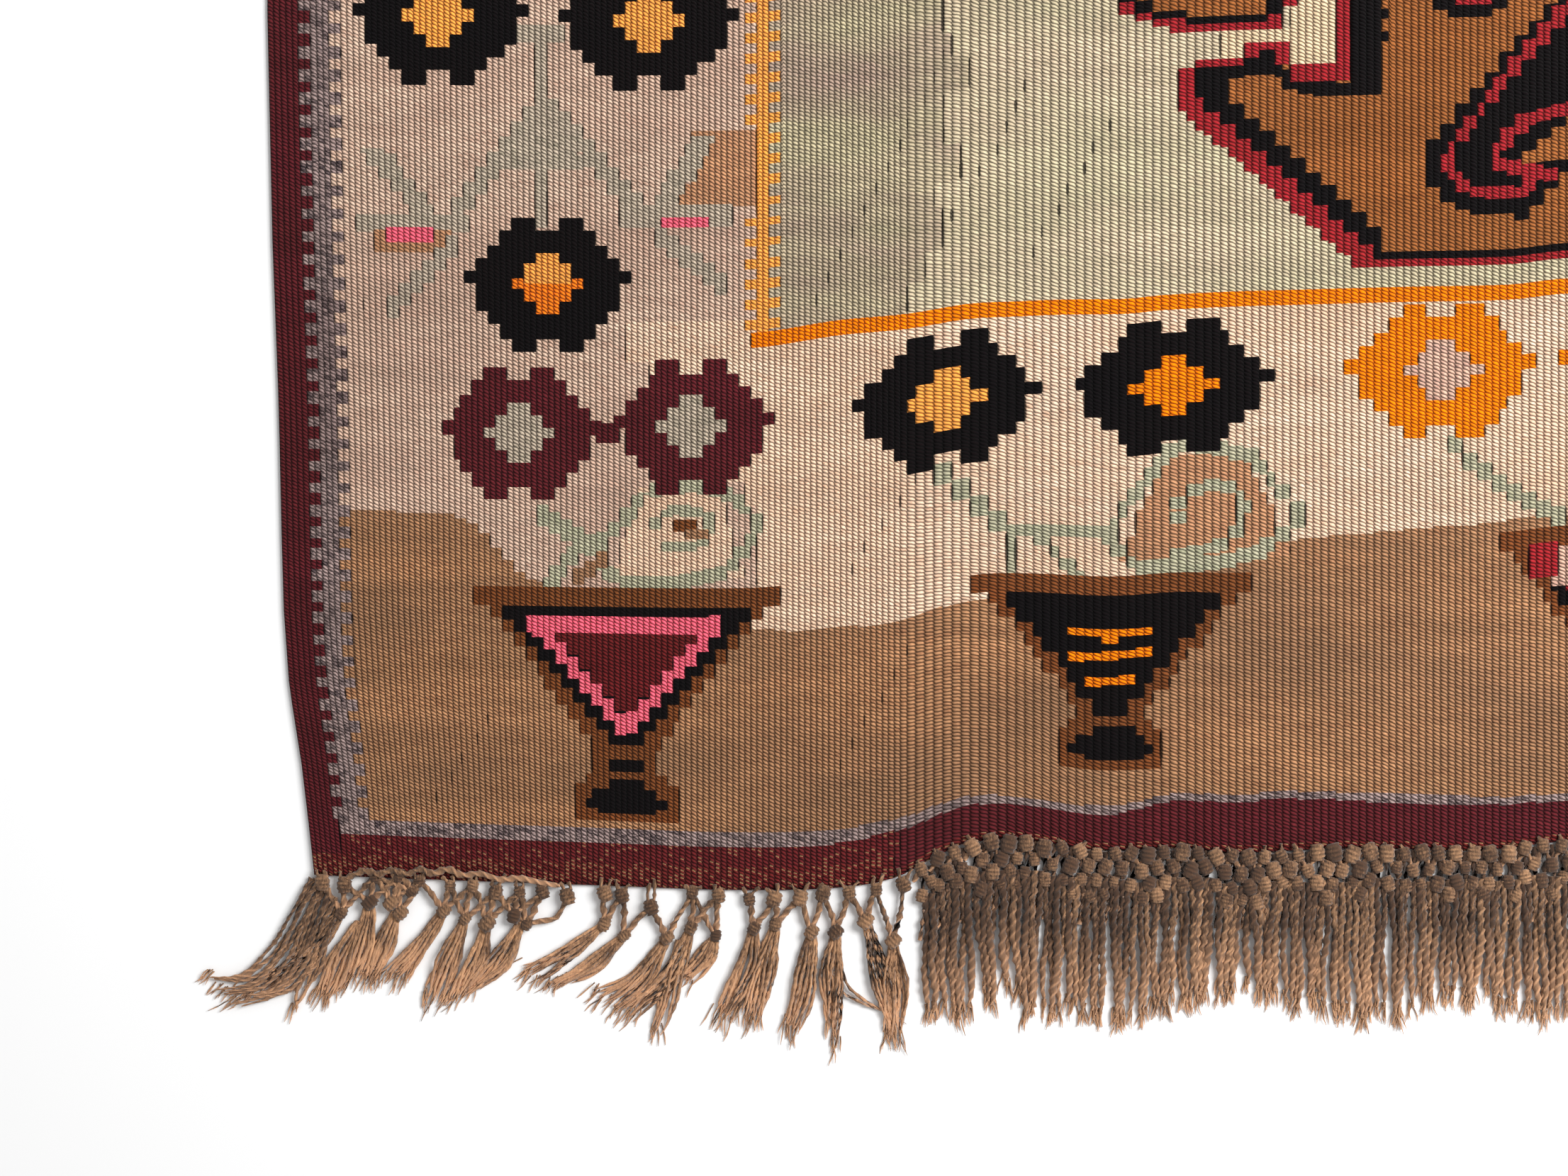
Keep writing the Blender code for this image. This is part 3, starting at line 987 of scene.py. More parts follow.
def warp_fleck(build, given, rib, leaning, across, along):
    """Whether the warp peeps out here, between two beads."""
    joint = build.maths("FLOOR", build.maths("ADD", leaning, 0.5))
    luck = build.luck(build.point(build.maths("FLOOR", rib), joint, 7.0))
    fleck = build.maths("LESS_THAN", luck, given["Warp Flecks"])
    between = build.maths("GREATER_THAN", build.maths("ABSOLUTE", along), FLECK_ALONG)
    on_warp = build.maths("LESS_THAN", build.maths("ABSOLUTE", across), FLECK_ACROSS)
    return build.times(build.times(fleck, between), on_warp)


def shade_group():
    """The look of tightly packed weft, shared by every yarn of the cloth."""
    group = bpy.data.node_groups.new("packed_weft", "ShaderNodeTree")
    for name, kind, value in WEFT_INPUTS:
        socket = group.interface.new_socket(name, in_out="INPUT", socket_type=kind)
        socket.default_value = value
    for name, kind in WEFT_OUTPUTS:
        group.interface.new_socket(name, in_out="OUTPUT", socket_type=kind)
    build = Wiring(group)
    given = build.node("NodeGroupInput").outputs
    out = build.node("NodeGroupOutput").inputs
    weave = build.on_map("WeaveMap")
    rib, floats = weave["X"], weave["Y"]
    bead, across, along, leaning = bead_shape(build, rib, floats)
    chance = build.luck(build.point(build.maths("FLOOR", rib), build.maths("FLOOR", leaning)))
    on_bead = [build.times(value, scale) for value, scale in zip((rib, leaning), FIBRES_ON_BEAD)]
    fibres = build.noise(build.point(*on_bead, chance), 2.0, 0.6)
    base, abrash = dyed_wool(build, given, rib, floats, chance, fibres)
    tone_and_painted_shade = build.times(abrash, build.maths("MULTIPLY_ADD", chance, *LUCK_LIGHT))
    # Painted shade in the crevices between beads and ribs, and a painted highlight on the beads'
    # tops.
    painted_bead_shade = build.node("ShaderNodeMapRange", Value=bead)
    painted_bead_shade.inputs["From Max"].default_value = BEAD_TOP
    painted_bead_shade.inputs["To Min"].default_value = PAINTED_BEAD_LIGHT[0]
    painted_bead_shade.inputs["To Max"].default_value = PAINTED_BEAD_LIGHT[1]
    tone_and_painted_shade = build.times(tone_and_painted_shade, painted_bead_shade.outputs["Result"])
    gap = slit_gap(build, rib, floats, across)
    # Painted shade inside an open slit.
    tone_and_painted_shade = build.times(tone_and_painted_shade, build.maths("MULTIPLY_ADD", gap, -SLIT_SHADE, 1.0))
    fleck = warp_fleck(build, given, rib, leaning, across, along)
    shown = build.blend(fleck, base, given["Warp Colour"])
    light = build.maths("MAXIMUM", tone_and_painted_shade, build.times(fleck, FLECK_LIGHT))
    relief = build.maths("MULTIPLY_ADD", fibres, FIBRE_DEPTH, bead)
    bump = build.node("ShaderNodeBump", Height=relief, Strength=1.0, Distance=BEAD_DEPTH)
    # The colour carries the painted shade and highlight of the beads and the painted shade of the
    # slits.
    build.join(build.dimmed(shown, light), out["Color"])
    build.join(build.maths("MULTIPLY_ADD", fibres, *ROUGHNESS), out["Roughness"])
    build.join(bump.outputs["Normal"], out["Normal"])
    return group


def linear(colour):
    """A colour as the eye reads it, 0 to 255, turned into the shader's own scale."""
    shares = [c / 255 for c in colour]
    bent = [s / 12.92 if s <= 0.04045 else ((s + 0.055) / 1.055) ** 2.4 for s in shares]
    return (*bent, 1.0)


WOOLS = {  # light colour, dark colour, second dye, its share, heather, abrash
    "burgundy": ((103, 34, 40), (64, 19, 26), (76, 28, 28), 0.5, 0.6, 0.5),
    "flecked_burgundy": ((111, 37, 36), (70, 23, 24), (86, 33, 28), 0.4, 0.6, 0.5),
    "grey_heather": ((171, 147, 142), (65, 54, 56), (119, 101, 96), 0.4, 1.5, 0.3),
    "charcoal_heather": ((163, 138, 134), (52, 40, 44), (107, 90, 84), 0.4, 1.6, 0.3),
    "beige": ((254, 219, 190), (193, 155, 130), (218, 174, 142), 0.55, 0.9, 0.4),
    "grey_beige": ((234, 201, 177), (168, 136, 117), (184, 149, 130), 0.65, 0.9, 0.5),
    "camel": ((192, 141, 101), (136, 93, 65), (126, 95, 72), 0.6, 0.8, 0.6),
    "taupe": ((210, 154, 113), (154, 107, 79), (158, 115, 85), 0.5, 0.8, 0.4),
    "sage": ((202, 184, 162), (133, 124, 106), (169, 150, 133), 0.5, 0.9, 0.4),
    "scroll_green": ((195, 189, 160), (122, 124, 100), (166, 160, 132), 0.5, 0.9, 0.4),
    "field_sage": ((200, 186, 151), (142, 133, 107), (165, 137, 125), 0.8, 0.8, 0.6),
    "pale_sage": ((221, 198, 168), (163, 147, 122), (184, 176, 142), 0.6, 0.8, 0.5),
    "cream": ((235, 205, 168), (186, 159, 127), (211, 180, 143), 0.5, 0.7, 0.3),
    "black": ((13, 8, 10), (4, 2, 3), (16, 8, 8), 0.5, 0.5, 0.3),
    "light_orange": ((255, 132, 27), (248, 101, 14), (240, 117, 35), 0.5, 0.5, 0.3),
    "deep_orange": ((255, 133, 3), (246, 109, 1), (250, 119, 6), 0.5, 0.5, 0.3),
    "pink": ((253, 112, 129), (232, 78, 101), (242, 94, 116), 0.5, 0.4, 0.2),
    "crimson": ((172, 40, 47), (123, 22, 30), (137, 34, 33), 0.5, 0.6, 0.3),
    "golden_brown": ((168, 102, 53), (119, 66, 33), (133, 82, 45), 0.5, 0.7, 0.5),
    "rust": ((133, 74, 38), (88, 46, 22), (109, 66, 36), 0.5, 0.6, 0.4),
    "wine": ((110, 32, 34), (75, 17, 21), (94, 30, 27), 0.5, 0.5, 0.3),
    "pale_orange": ((255, 172, 78), (244, 140, 56), (240, 150, 76), 0.5, 0.5, 0.3),
    "worn_burgundy": ((111, 36, 38), (68, 20, 24), (82, 29, 28), 0.5, 0.6, 0.5),
    "lilac_grey": ((231, 184, 159), (160, 123, 109), (189, 153, 137), 0.5, 1.2, 0.3),
}
FLECKS = {"flecked_burgundy": 0.5, "worn_burgundy": 0.16}  # share of joints that show the warp
WARP_WOOL = (170, 128, 92)


def wool(name, group):
    """One dyed yarn of the cloth."""
    light, dark, second, share, heather, abrash = WOOLS[name]
    made = bpy.data.materials.new(name + "_wool")
    made.use_nodes = True
    build = Wiring(made.node_tree)
    shader = made.node_tree.nodes["Principled BSDF"]
    shader.inputs["Sheen Weight"].default_value = 0.03
    shader.inputs["Sheen Roughness"].default_value = 0.6
    shader.inputs["Specular IOR Level"].default_value = 0.05
    weft = build.node("ShaderNodeGroup", node_tree=group)
    for socket, colour in (
        ("Light", light), ("Dark", dark), ("Second Dye", second), ("Warp Colour", WARP_WOOL),
    ):
        weft.inputs[socket].default_value = linear(colour)
    for socket, value in (
        ("Second Share", share), ("Heather", heather), ("Abrash", abrash),
        ("Warp Flecks", FLECKS.get(name, 0.0)),
    ):
        weft.inputs[socket].default_value = value
    build.join(weft.outputs["Color"], shader.inputs["Base Color"])
    build.join(weft.outputs["Roughness"], shader.inputs["Roughness"])
    build.join(weft.outputs["Normal"], shader.inputs["Normal"])
    return made


def show(mesh):
    """Puts a finished mesh in the scene under its own name."""
    made = bpy.data.objects.new(mesh.name, mesh)
    bpy.context.scene.collection.objects.link(made)
    return made


UNDER_SHARE = 0.12  # share of the bake's height that the underside's strip takes
UNDER_FILL = 0.97  # of that strip, the part in use
RIM_INSIDE = 0.96  # how large the underside is drawn there
RIM_OPENS = 0.03  # and how much larger the rim's upper line


def flatten(mesh, upper=None):
    """Lays a mesh out from above for baking; corners past the upper ones get a strip below."""
    points = np.empty(len(mesh.vertices) * 3, dtype=np.float32)
    mesh.vertices.foreach_get("co", points)
    points = points.reshape(-1, 3)
    loops = np.empty(len(mesh.loops), dtype=np.int32)
    mesh.loops.foreach_get("vertex_index", loops)
    low, high = points.min(axis=0), points.max(axis=0)
    share = (points[loops] - low) / (high - low)
    flat = share[:, :2]
    if upper is not None:
        # The rim opens outwards round the underside, so none of its faces is without width.
        size = RIM_INSIDE + RIM_OPENS * share[upper:, 2:]
        flat[upper:] = (0.5 + (flat[upper:] - 0.5) * size) * (1.0, UNDER_FILL * UNDER_SHARE)
        flat[:upper, 1] = UNDER_SHARE + (1 - UNDER_SHARE) * flat[:upper, 1]
    bake = mesh.uv_layers.new(name="OFBake")
    bake.data.foreach_set("uv", flat.astype(np.float32).ravel())
    mesh.uv_layers.active = bake


def weave_cloth():
    """The cloth as one closed piece, with a yarn for each face."""
    weave_pattern()
    gathered = cloth_mesh()
    mesh = bpy.data.meshes.new("kilim_cloth")
    mesh.from_pydata(gathered.points, [], gathered.faces)
    group = shade_group()
    for name in YARNS:
        mesh.materials.append(wool(name, group))
    mesh.polygons.foreach_set("material_index", np.array(gathered.yarns, dtype=np.int32))
    for name, places in (("WeaveMap", gathered.weave), ("SlitMap", gathered.slits)):
        layer = mesh.uv_layers.new(name=name)
        layer.data.foreach_set("uv", np.array(places, dtype=np.float32).ravel())
    flatten(mesh, gathered.ridged)
    mesh.shade_smooth()
    mark_ribs(mesh, gathered)
    return show(mesh)


def mark_ribs(mesh, gathered):
    """Keeps the line between two ribs, and the rim, sharp."""
    ribs = np.full(len(gathered.points), -1)
    low = np.zeros(len(gathered.points), dtype=bool)
    for (across, _, height), number in gathered.known.items():
        line = bisect.bisect_left(EDGES, across - 0.01)
        if line <= WARPS and abs(EDGES[line] - across) < 0.01:
            ribs[number] = line
        low[number] = height == 0
    ends = np.empty(len(mesh.edges) * 2, dtype=np.int32)
    mesh.edges.foreach_get("vertices", ends)
    first, second = ends[::2], ends[1::2]
    sharp = (ribs[first] == ribs[second]) & (ribs[first] >= 0)
    sharp |= low[first] & low[second]
    marked = mesh.attributes.new("sharp_edge", "BOOLEAN", "EDGE")
    marked.data.foreach_set("value", sharp)


# The fringe. Places are in millimetres: across from the left selvedge's line, and outwards from
# the hem's line. Its first run of knots, the knots below them, and the tassels, listed one by one.
FIRST_KNOTS = (
    (19.9, 1.1), (28.6, 2.2), (40.6, -1.0), (50.1, -1.6), (58.2, 0.6), (70.3, 2.5), (79.2, 2.5),
    (88.2, 5.0), (97.7, 5.0), (106.7, 5.0), (116.5, 6.7), (131.3, 5.6), (138.0, 6.4),
    (149.5, 10.9), (165.8, 5.0), (176.1, 6.4), (188.2, 7.8), (198.0, 7.8), (208.3, 7.3),
    (217.3, 5.6), (227.6, 5.3), (238.3, 3.9), (249.0, 2.0),
)
LOWER_KNOTS = (
    (27.4, 13.2), (38.6, 9.0), (47.0, 9.2), (50.7, 13.2), (55.2, 4.8), (67.8, 12.3), (76.2, 15.4),
    (84.8, 17.4), (95.5, 14.3), (100.5, 17.6), (131.0, 17.6), (138.9, 22.1), (155.7, 23.0),
    (165.2, 19.0), (175.0, 22.1), (190.1, 19.3), (198.5, 17.6), (212.8, 20.7), (222.3, 20.7),
    (234.1, 16.2), (245.0, 24.1),
)
TASSELS = (  # knot, middle of the run, first tip, last tip, yarns
    ((27.4, 13.2), (14.0, 30.0), (-15.0, 45.0), (-2.0, 43.0), 8),
    ((18.0, 30.0), (13.0, 42.0), (8.2, 52.0), (9.0, 53.0), 2),
    ((34.0, 16.8), (27.0, 31.0), (17.0, 44.0), (25.0, 47.0), 12),
    ((38.6, 9.0), (36.0, 25.0), (28.0, 40.0), (33.0, 38.0), 9),
    ((49.0, 12.0), (43.0, 28.0), (36.0, 39.0), (42.0, 38.0), 10),
    ((67.8, 12.3), (58.0, 27.0), (43.4, 38.0), (54.6, 40.0), 12),
    ((76.2, 15.4), (70.0, 32.0), (59.1, 45.4), (66.4, 49.3), 11),
    ((84.8, 17.4), (80.0, 33.0), (69.0, 47.0), (75.0, 44.0), 10),
    ((98.0, 17.0), (90.0, 33.0), (74.0, 46.0), (82.0, 42.0), 11),
    ((131.0, 17.6), (118.0, 28.0), (99.1, 35.0), (104.0, 40.0), 9),
    ((138.9, 22.1), (126.0, 34.0), (108.0, 43.0), (118.0, 40.6), 11),
    ((155.7, 23.0), (146.0, 38.0), (127.7, 44.8), (135.2, 53.2), 11),
    ((165.2, 19.0), (156.0, 38.0), (138.6, 50.0), (143.4, 55.4), 11),
    ((161.0, 24.0), (157.0, 42.0), (150.0, 58.0), (153.0, 61.3), 5),
    ((175.0, 22.1), (170.0, 32.0), (160.2, 39.5), (164.0, 41.0), 8),
    ((190.1, 19.3), (186.0, 36.0), (175.6, 51.8), (179.5, 56.6), 10),
    ((198.5, 17.6), (194.0, 36.0), (185.1, 52.9), (193.2, 56.0), 11),
    ((212.8, 20.7), (210.0, 40.0), (202.7, 57.4), (206.4, 61.3), 9),
    ((222.3, 20.7), (221.0, 40.0), (217.6, 54.6), (223.2, 66.6), 9),
    ((222.3, 20.7), (225.4, 42.0), (240.8, 51.8), (241.0, 52.0), 1),
    ((234.1, 16.2), (241.6, 42.6), (243.0, 58.0), (246.0, 61.9), 7),
    ((245.0, 24.1), (246.0, 42.0), (242.0, 60.0), (248.0, 62.2), 9),
)
CORNER_ROPES = (
    ((17.0, 0.0), (12.0, 8.0), (2.0, 27.0), (-10.0, 38.0), (-24.0, 39.0)),
    ((19.0, 3.0), (14.0, 11.0), (7.0, 26.0), (-5.0, 41.0), (-20.0, 44.5)),
    ((21.0, 4.0), (17.0, 14.0), (11.0, 29.0), (1.0, 44.0), (-14.0, 49.5)),
    ((24.0, 6.0), (19.0, 17.0), (14.0, 31.0), (4.0, 43.0), (-8.0, 46.0)),
    ((28.0, 10.0), (22.0, 20.0), (18.0, 33.0), (11.0, 42.0)),
)
SLACK_LOOP = ((116.5, 7.5, 2.0), (112.0, 15.0, 1.8), (106.0, 16.5, 1.8), (100.5, 17.6, 2.0))
THREE_FROM_ABOVE = 105  # up to here three yarns lead to each lower knot, then two
HEM_CORD = (  # across, how far inside the hem's line the loose cord lies on the cloth
    (28, -1.5), (33, 1.5), (37, 4.0), (42, 2.0), (47, 4.8), (53, 2.6), (58, 6.0), (63, 3.6),
    (69, 6.6), (75, 3.2), (82, 4.6), (90, 1.6), (98, 2.8), (106, 0.8), (114, -0.8),
)
ROPES_BOTTOM = (  # across, how far out the thick fringe ends
    (253, 57.0), (270, 53.0), (287, 44.0), (298, 56.0), (309, 52.0), (320, 56.5), (332, 59.0),
    (343, 54.5), (354, 51.0), (365, 50.0), (376, 45.5), (388, 47.5), (399, 49.5), (410, 52.0),
    (421, 57.0), (433, 55.5), (444, 56.0), (455, 47.5), (466, 49.0), (477, 50.0), (489, 55.0),
    (500, 54.0), (511, 52.5), (700, 55.0), (900, 50.0), (1100, 53.0), (1220, 50.0),
)
FAR_BOTTOM = (
    (0, 54.0), (200, 61.0), (420, 58.0), (640, 64.0), (860, 59.0), (1060, 62.0), (1220, 54.0),
)
THICK_PITCH = 6.8  # between the knots of the fine part of the thick fringe
PLAIN_PITCH = 9.0  # and of the rest
TUFT_PITCH = 13.5  # between the pointed tufts that the ropes gather into
TUFT_PULL = 0.22  # how far a rope's tip is drawn to its tuft
TUFT_POINT = 0.6  # how much shorter it is for each millimetre from the tuft
STACKED_DROP = 5.5  # how much further out the ropes begin below stacked knots
TASSEL_FULLNESS = 1.5
ROPE_RADIUS = 1.8
YARN_RADIUS = 0.72
WISP_RADIUS = 0.34
ROPES_APART = 0.36  # distance between a knot's ropes, in pitches
WISP_CHANCE = 0.75
THIRD_KNOT_CHANCE = 0.4
ROPE_TURN = 8.4  # length of one full turn of the two plies
ROPE, STRAND, WISP = 0, 1, 2
TURN = 6.28  # one full turn, in radians
THINS_FROM = 0.72  # share of a yarn's length from which it thins
THINS_OVER = 0.28  # and share over which it does
LOW_RADIUS = 2.5  # of a knot of size 1, which it needs to rest on the floor
HIGH = 3.0  # height of the yarns where they leave the cloth
NET_RADIUS = 0.95  # of the yarns above a knot
KNOT_START, KNOT_MIDDLE = 1.8, 2.0  # heights at which yarns leave a knot

Netting = collections.namedtuple("Netting", "samples ropes half_row second_row wisps stacked")
FINE = Netting(26, 3, 1.0, 7.6, 5, True)  # where the photograph shows it
PLAIN = Netting(10, 2, 0.5, 10.5, 1, False)


class Fringe:
    """Guide lines and knot places of one fringe, with the values that its yarn tree reads."""

    def __init__(self, name, line, outward, hem, seed):
        self.name, self.line, self.outward, self.hem = name, line, outward, hem
        self.luck = random.Random(seed)
        self.points, self.edges = [], []
        self.thickness, self.turn, self.tone, self.tip, self.kind = [], [], [], [], []
        self.knots, self.knot_turn, self.knot_size, self.knot_tone = [], [], [], []

    def spot(self, across, out, height):
        """Where a place of the fringe lies, in metres, never below the floor."""
        along = self.line + self.outward * out / 1000
        return (LEFT + across / 1000, along, max(height, 0.05) / 1000)

    def hem_out(self, across):
        """How far out the hem lies at a place across."""
        bow = 0.0
        if self.outward < 0:
            bow = max(0.0, 1 - across / (1000 * BOW_REACH)) ** 2 * 1000 * LEFT_BOW[0][1]
        return self.outward * 1000 * read(self.hem, (across - bow) / 1000)

    def guide(self, stops, radius, samples, kind, tone, wave=0.6, tip=0.25):
        """One yarn through its stops (across, out, height of its middle)."""
        luck = self.luck
        spans = len(stops) - 1
        phase, pace = luck.uniform(0, TURN), luck.uniform(0.9, 1.6)
        turn, first = luck.uniform(0, TURN), len(self.points)
        before = None
        for number in range(samples):
            share = number / (samples - 1)
            here = [curve_at(stops, share * spans, axis) for axis in range(3)]
            free = min(1.0, 4 * share)
            sway = wave * math.sin(phase + pace * TURN * share) * free
            sway += 0.3 * wave * math.sin(2 * phase + 3.6 * pace * TURN * share) * free
            here[0] += sway
            thick = radius * (1 - (1 - tip) * smooth((share - THINS_FROM) / THINS_OVER))
            thick *= 1 + 0.10 * math.sin(2.3 * phase + 17 * share)
            here[2] = max(here[2], thick)
            if before:
                turn += TURN * math.dist(before, here) / ROPE_TURN
            before = here
            self.points.append(self.spot(*here))
            self.thickness.append(thick / 1000)
            self.turn.append(turn)
            self.tone.append(tone)
            self.tip.append(share)
            self.kind.append(kind)
        self.edges += [(first + n, first + n + 1) for n in range(samples - 1)]

    def knot(self, across, out, size=1.0, lean_over=0.0, height=2.3):
        """One wrapped knot, turned a little, of its own size and tone."""
        luck = self.luck
        side = luck.choice((0.0, math.pi))
        self.knot_turn.append((side, 0.0, lean_over + luck.uniform(-0.45, 0.45)))
        size *= luck.uniform(0.82, 1.16)
        self.knots.append(self.spot(across, out, max(height, LOW_RADIUS * size)))
        self.knot_size.append(size)
        self.knot_tone.append(luck.uniform(-0.4, 0.6))

    def wisps(self, across, out, aside, onward, count):
        """Loose fibres past a yarn's tip."""
        luck = self.luck
        for _ in range(count):
            reach = luck.uniform(3.5, 8.0)
            start = (across + luck.uniform(-0.9, 0.9), out - 3.0, luck.uniform(0.4, 1.6))
            aside_too = aside + luck.uniform(-0.45, 0.45)
            end = (across + aside_too * reach, out + onward * reach, luck.uniform(0.2, 0.8))
            middle = tuple((a + b) / 2 + luck.uniform(-0.6, 0.6) for a, b in zip(start, end))
            self.guide((start, middle, end), WISP_RADIUS, 4, WISP, luck.uniform(0.5, 1), 0.2, 0.3)


def curve_at(stops, at, axis):
    """One coordinate on the smooth curve through evenly timed stops."""
    number = min(int(at), len(stops) - 2)
    t = at - number
    before = stops[max(number - 1, 0)][axis]
    start, end = stops[number][axis], stops[number + 1][axis]
    after = stops[min(number + 2, len(stops) - 1)][axis]
    return 0.5 * (
        2 * start + (end - before) * t + (2 * before - 5 * start + 4 * end - after) * t * t
        + (3 * start - before - 3 * end + after) * t**3
    )


def over_hem(fringe, stops):
    """A short yarn from the cloth, over the hem and down to a knot."""
    fringe.guide(stops, NET_RADIUS, 5, ROPE, fringe.luck.uniform(0.2, 0.6), 0.1, 0.9)


def knotted_net(fringe):
    """Two rows of knots below the hem of the corner, with the yarns that lead to them."""
    luck = fringe.luck
    for across, out in FIRST_KNOTS:
        hem = fringe.hem_out(across)
        for aside in (-1.3, 1.2):
            over_hem(fringe, (
                (across + 1.6 * aside + luck.uniform(-2.2, 2.2), hem - luck.uniform(0.8, 3.6), HIGH),
                (across + 1.2 * aside, (hem + out) / 2 - 1.0, 2.8),
                (across + 0.5 * aside, out, 2.2),
            ))
        fringe.knot(across, out, 0.95)
    for across, out in LOWER_KNOTS:
        fringe.knot(across, out, 0.95, lean_over=-0.5)
        above = sorted(FIRST_KNOTS, key=lambda knot: math.dist(knot, (across, out - 4)))
        for upper in above[: 3 if across < THREE_FROM_ABOVE else 2]:
            stops = (
                (*upper, KNOT_MIDDLE),
                ((upper[0] + across) / 2 + luck.uniform(-0.6, 0.6), (upper[1] + out) / 2, 2.3),
                (across, out, KNOT_MIDDLE),
            )
            fringe.guide(stops, 1.55, 8, ROPE, luck.uniform(0.2, 0.6), 0.3, 0.95)


def loose_ropes(fringe):
    """The loose cord on the hem, a slack loop, and the ropes that leave the cloth's corner."""
    luck = fringe.luck
    cord = [(across, fringe.hem_out(across) - 0.7 * inward, 3.2) for across, inward in HEM_CORD]
    fringe.guide(cord, 1.6, 60, ROPE, 0.3, 0.4, 0.8)
    fringe.guide(SLACK_LOOP, 1.5, 10, ROPE, 0.6, 0.2, 0.9)
    for line in CORNER_ROPES:
        for aside in (-1.6, 0.0, 1.6):
            stops = [
                (across + aside, out + 0.4 * aside + luck.uniform(-0.5, 0.5), luck.uniform(1.2, 2.8))
                for across, out in line
            ]
            fringe.guide(stops, 1.15, 26, ROPE, luck.uniform(0.0, 0.5), 0.7, 0.35)
            fringe.wisps(stops[-1][0], stops[-1][1], -0.9, 0.35, 2)


def knotted_tassels(fringe):
    """The netted corner of the near fringe: two rows of knots and long pointed tassels."""
    luck = fringe.luck
    knotted_net(fringe)
    loose_ropes(fringe)
    for knot, middle, first, last, count in TASSELS:
        count = round(count * TASSEL_FULLNESS)
        for number in range(count):
            share = (number + 0.5) / count
            tip = [a + (b - a) * share + luck.uniform(-2.0, 2.0) for a, b in zip(first, last)]
            spread = (share - 0.5) * 9.0
            start = (knot[0] + (share - 0.5) * 2.6, knot[1] + luck.uniform(-0.5, 0.5), KNOT_START)
            belly = (
                middle[0] + spread + luck.uniform(-0.6, 0.6),
                middle[1] + luck.uniform(-1.5, 1.5),
                luck.choice((0.8, 1.7, 2.5)),
            )
            stops = (start, belly, (*tip, luck.uniform(0.5, 1.3)))
            radius = YARN_RADIUS * luck.uniform(0.85, 1.2)
            fringe.guide(stops, radius, 14, STRAND, luck.uniform(0.1, 0.9), 0.5, 0.22)
            if luck.random() < WISP_CHANCE:
                aside, onward = tip[0] - belly[0], tip[1] - belly[1]
                length = math.hypot(aside, onward)
                fringe.wisps(*tip, aside / length, onward / length, 1)


def thick_fringe(fringe, start, end, pitch, bottom, way):
    """Close columns of wrapped knots, with two or three plied ropes below each."""
    luck = fringe.luck
    across = start
    while across < end:
        hem = fringe.hem_out(across)
        fringe.knot(across, hem + 1.6 + luck.uniform(-0.8, 0.8), 1.05)
        beside = across + pitch * 0.5 + luck.uniform(-0.8, 0.8)
        low = hem + way.second_row + luck.uniform(-1.0, 1.0)
        fringe.knot(beside, low, 1.0)
        if way.stacked:
            stacked_knots(fringe, across, beside, hem, low, pitch)
            low += STACKED_DROP
        last = straight(bottom, across)
        for rope in range(way.ropes):
            aside = beside + (rope - way.half_row) * pitch * ROPES_APART
            to_tuft = start + round((aside - start) / TUFT_PITCH) * TUFT_PITCH - aside
            out = last + 1.0 - TUFT_POINT * abs(to_tuft) - luck.uniform(0.0, 5.0)
            drift = TUFT_PULL * to_tuft + luck.uniform(-2.4, 2.4)
            layer = luck.choice((1.5, 2.4, 3.2))
            stops = (
                (aside, low - 1.0, KNOT_MIDDLE),
                (aside + 0.3 * drift, low + 0.35 * (out - low), layer),
                (aside + 0.7 * drift, low + 0.7 * (out - low), layer - 0.4),
                (aside + drift, out, 1.2),
            )
            tone = luck.uniform(-0.85, 0.6)
            radius = ROPE_RADIUS * luck.uniform(0.82, 1.12)
            fringe.guide(stops, radius, way.samples, ROPE, tone, 0.7, 0.45)
            fringe.wisps(aside + drift, out, 0.1 * luck.uniform(-1, 1), 0.9, way.wisps)
        across += pitch * luck.uniform(0.9, 1.1)


def stacked_knots(fringe, across, beside, hem, low, pitch):
    """What fills one column of the thick fringe's netting: loops, ropes, more knots, and dark filler
    ropes whose tone is painted shade.
    """
    luck = fringe.luck
    over = hem - luck.uniform(0.8, 3.2)
    over_hem(fringe, (
        (across + luck.uniform(-2.4, 2.4), over, HIGH), (across, hem + 0.5, 2.8),
        (across, hem + 2.0, 2.3),
    ))
    for aside in (-1, 1):
        stops = (
            (across, hem + 2.0, KNOT_START),
            (across + aside * 1.8, hem + 4.5, 2.2),
            (across + aside * pitch * 0.45, low, KNOT_MIDDLE),
        )
        fringe.guide(stops, 1.3, 6, ROPE, luck.uniform(-0.3, 0.6), 0.2, 0.95)
    fringe.knot(across + luck.uniform(-0.7, 0.7), low + 5.6 + luck.uniform(-0.8, 0.8), 0.95)
    if luck.random() < THIRD_KNOT_CHANCE:
        fringe.knot(beside + luck.uniform(-1, 1), low + 10.5 + luck.uniform(-1, 1.5), 0.9)
    # Dark ropes low behind each column: their dark tone is painted shade in the gaps between the
    # columns.
    for spot in (across, beside):
        shade_filler = ((spot, hem + 0.5, 0.8), (spot + 1.0, hem + 14.0, 0.8), (spot, hem + 30.0, 0.8))
        fringe.guide(shade_filler, 1.6, 9, ROPE, luck.uniform(-1.3, -0.5), 0.4, 0.8)


def numbers_on(mesh, name, kind, values):
    """Stores one value for each point of a guide mesh."""
    made = mesh.attributes.new(name, kind, "POINT")
    flat = np.array(values, dtype=np.float32).ravel()
    made.data.foreach_set("vector" if kind == "FLOAT_VECTOR" else "value", flat)


KNOT_ROWS = 8
KNOT_SIDES = 8
KNOT_WRAPS = 3.5  # turns of yarn round a knot
KNOT_REACH = 3.15  # its greatest radius
KNOT_LENGTH = 6.0
KNOT_FLATNESS = 0.74  # its height, as a share of its width


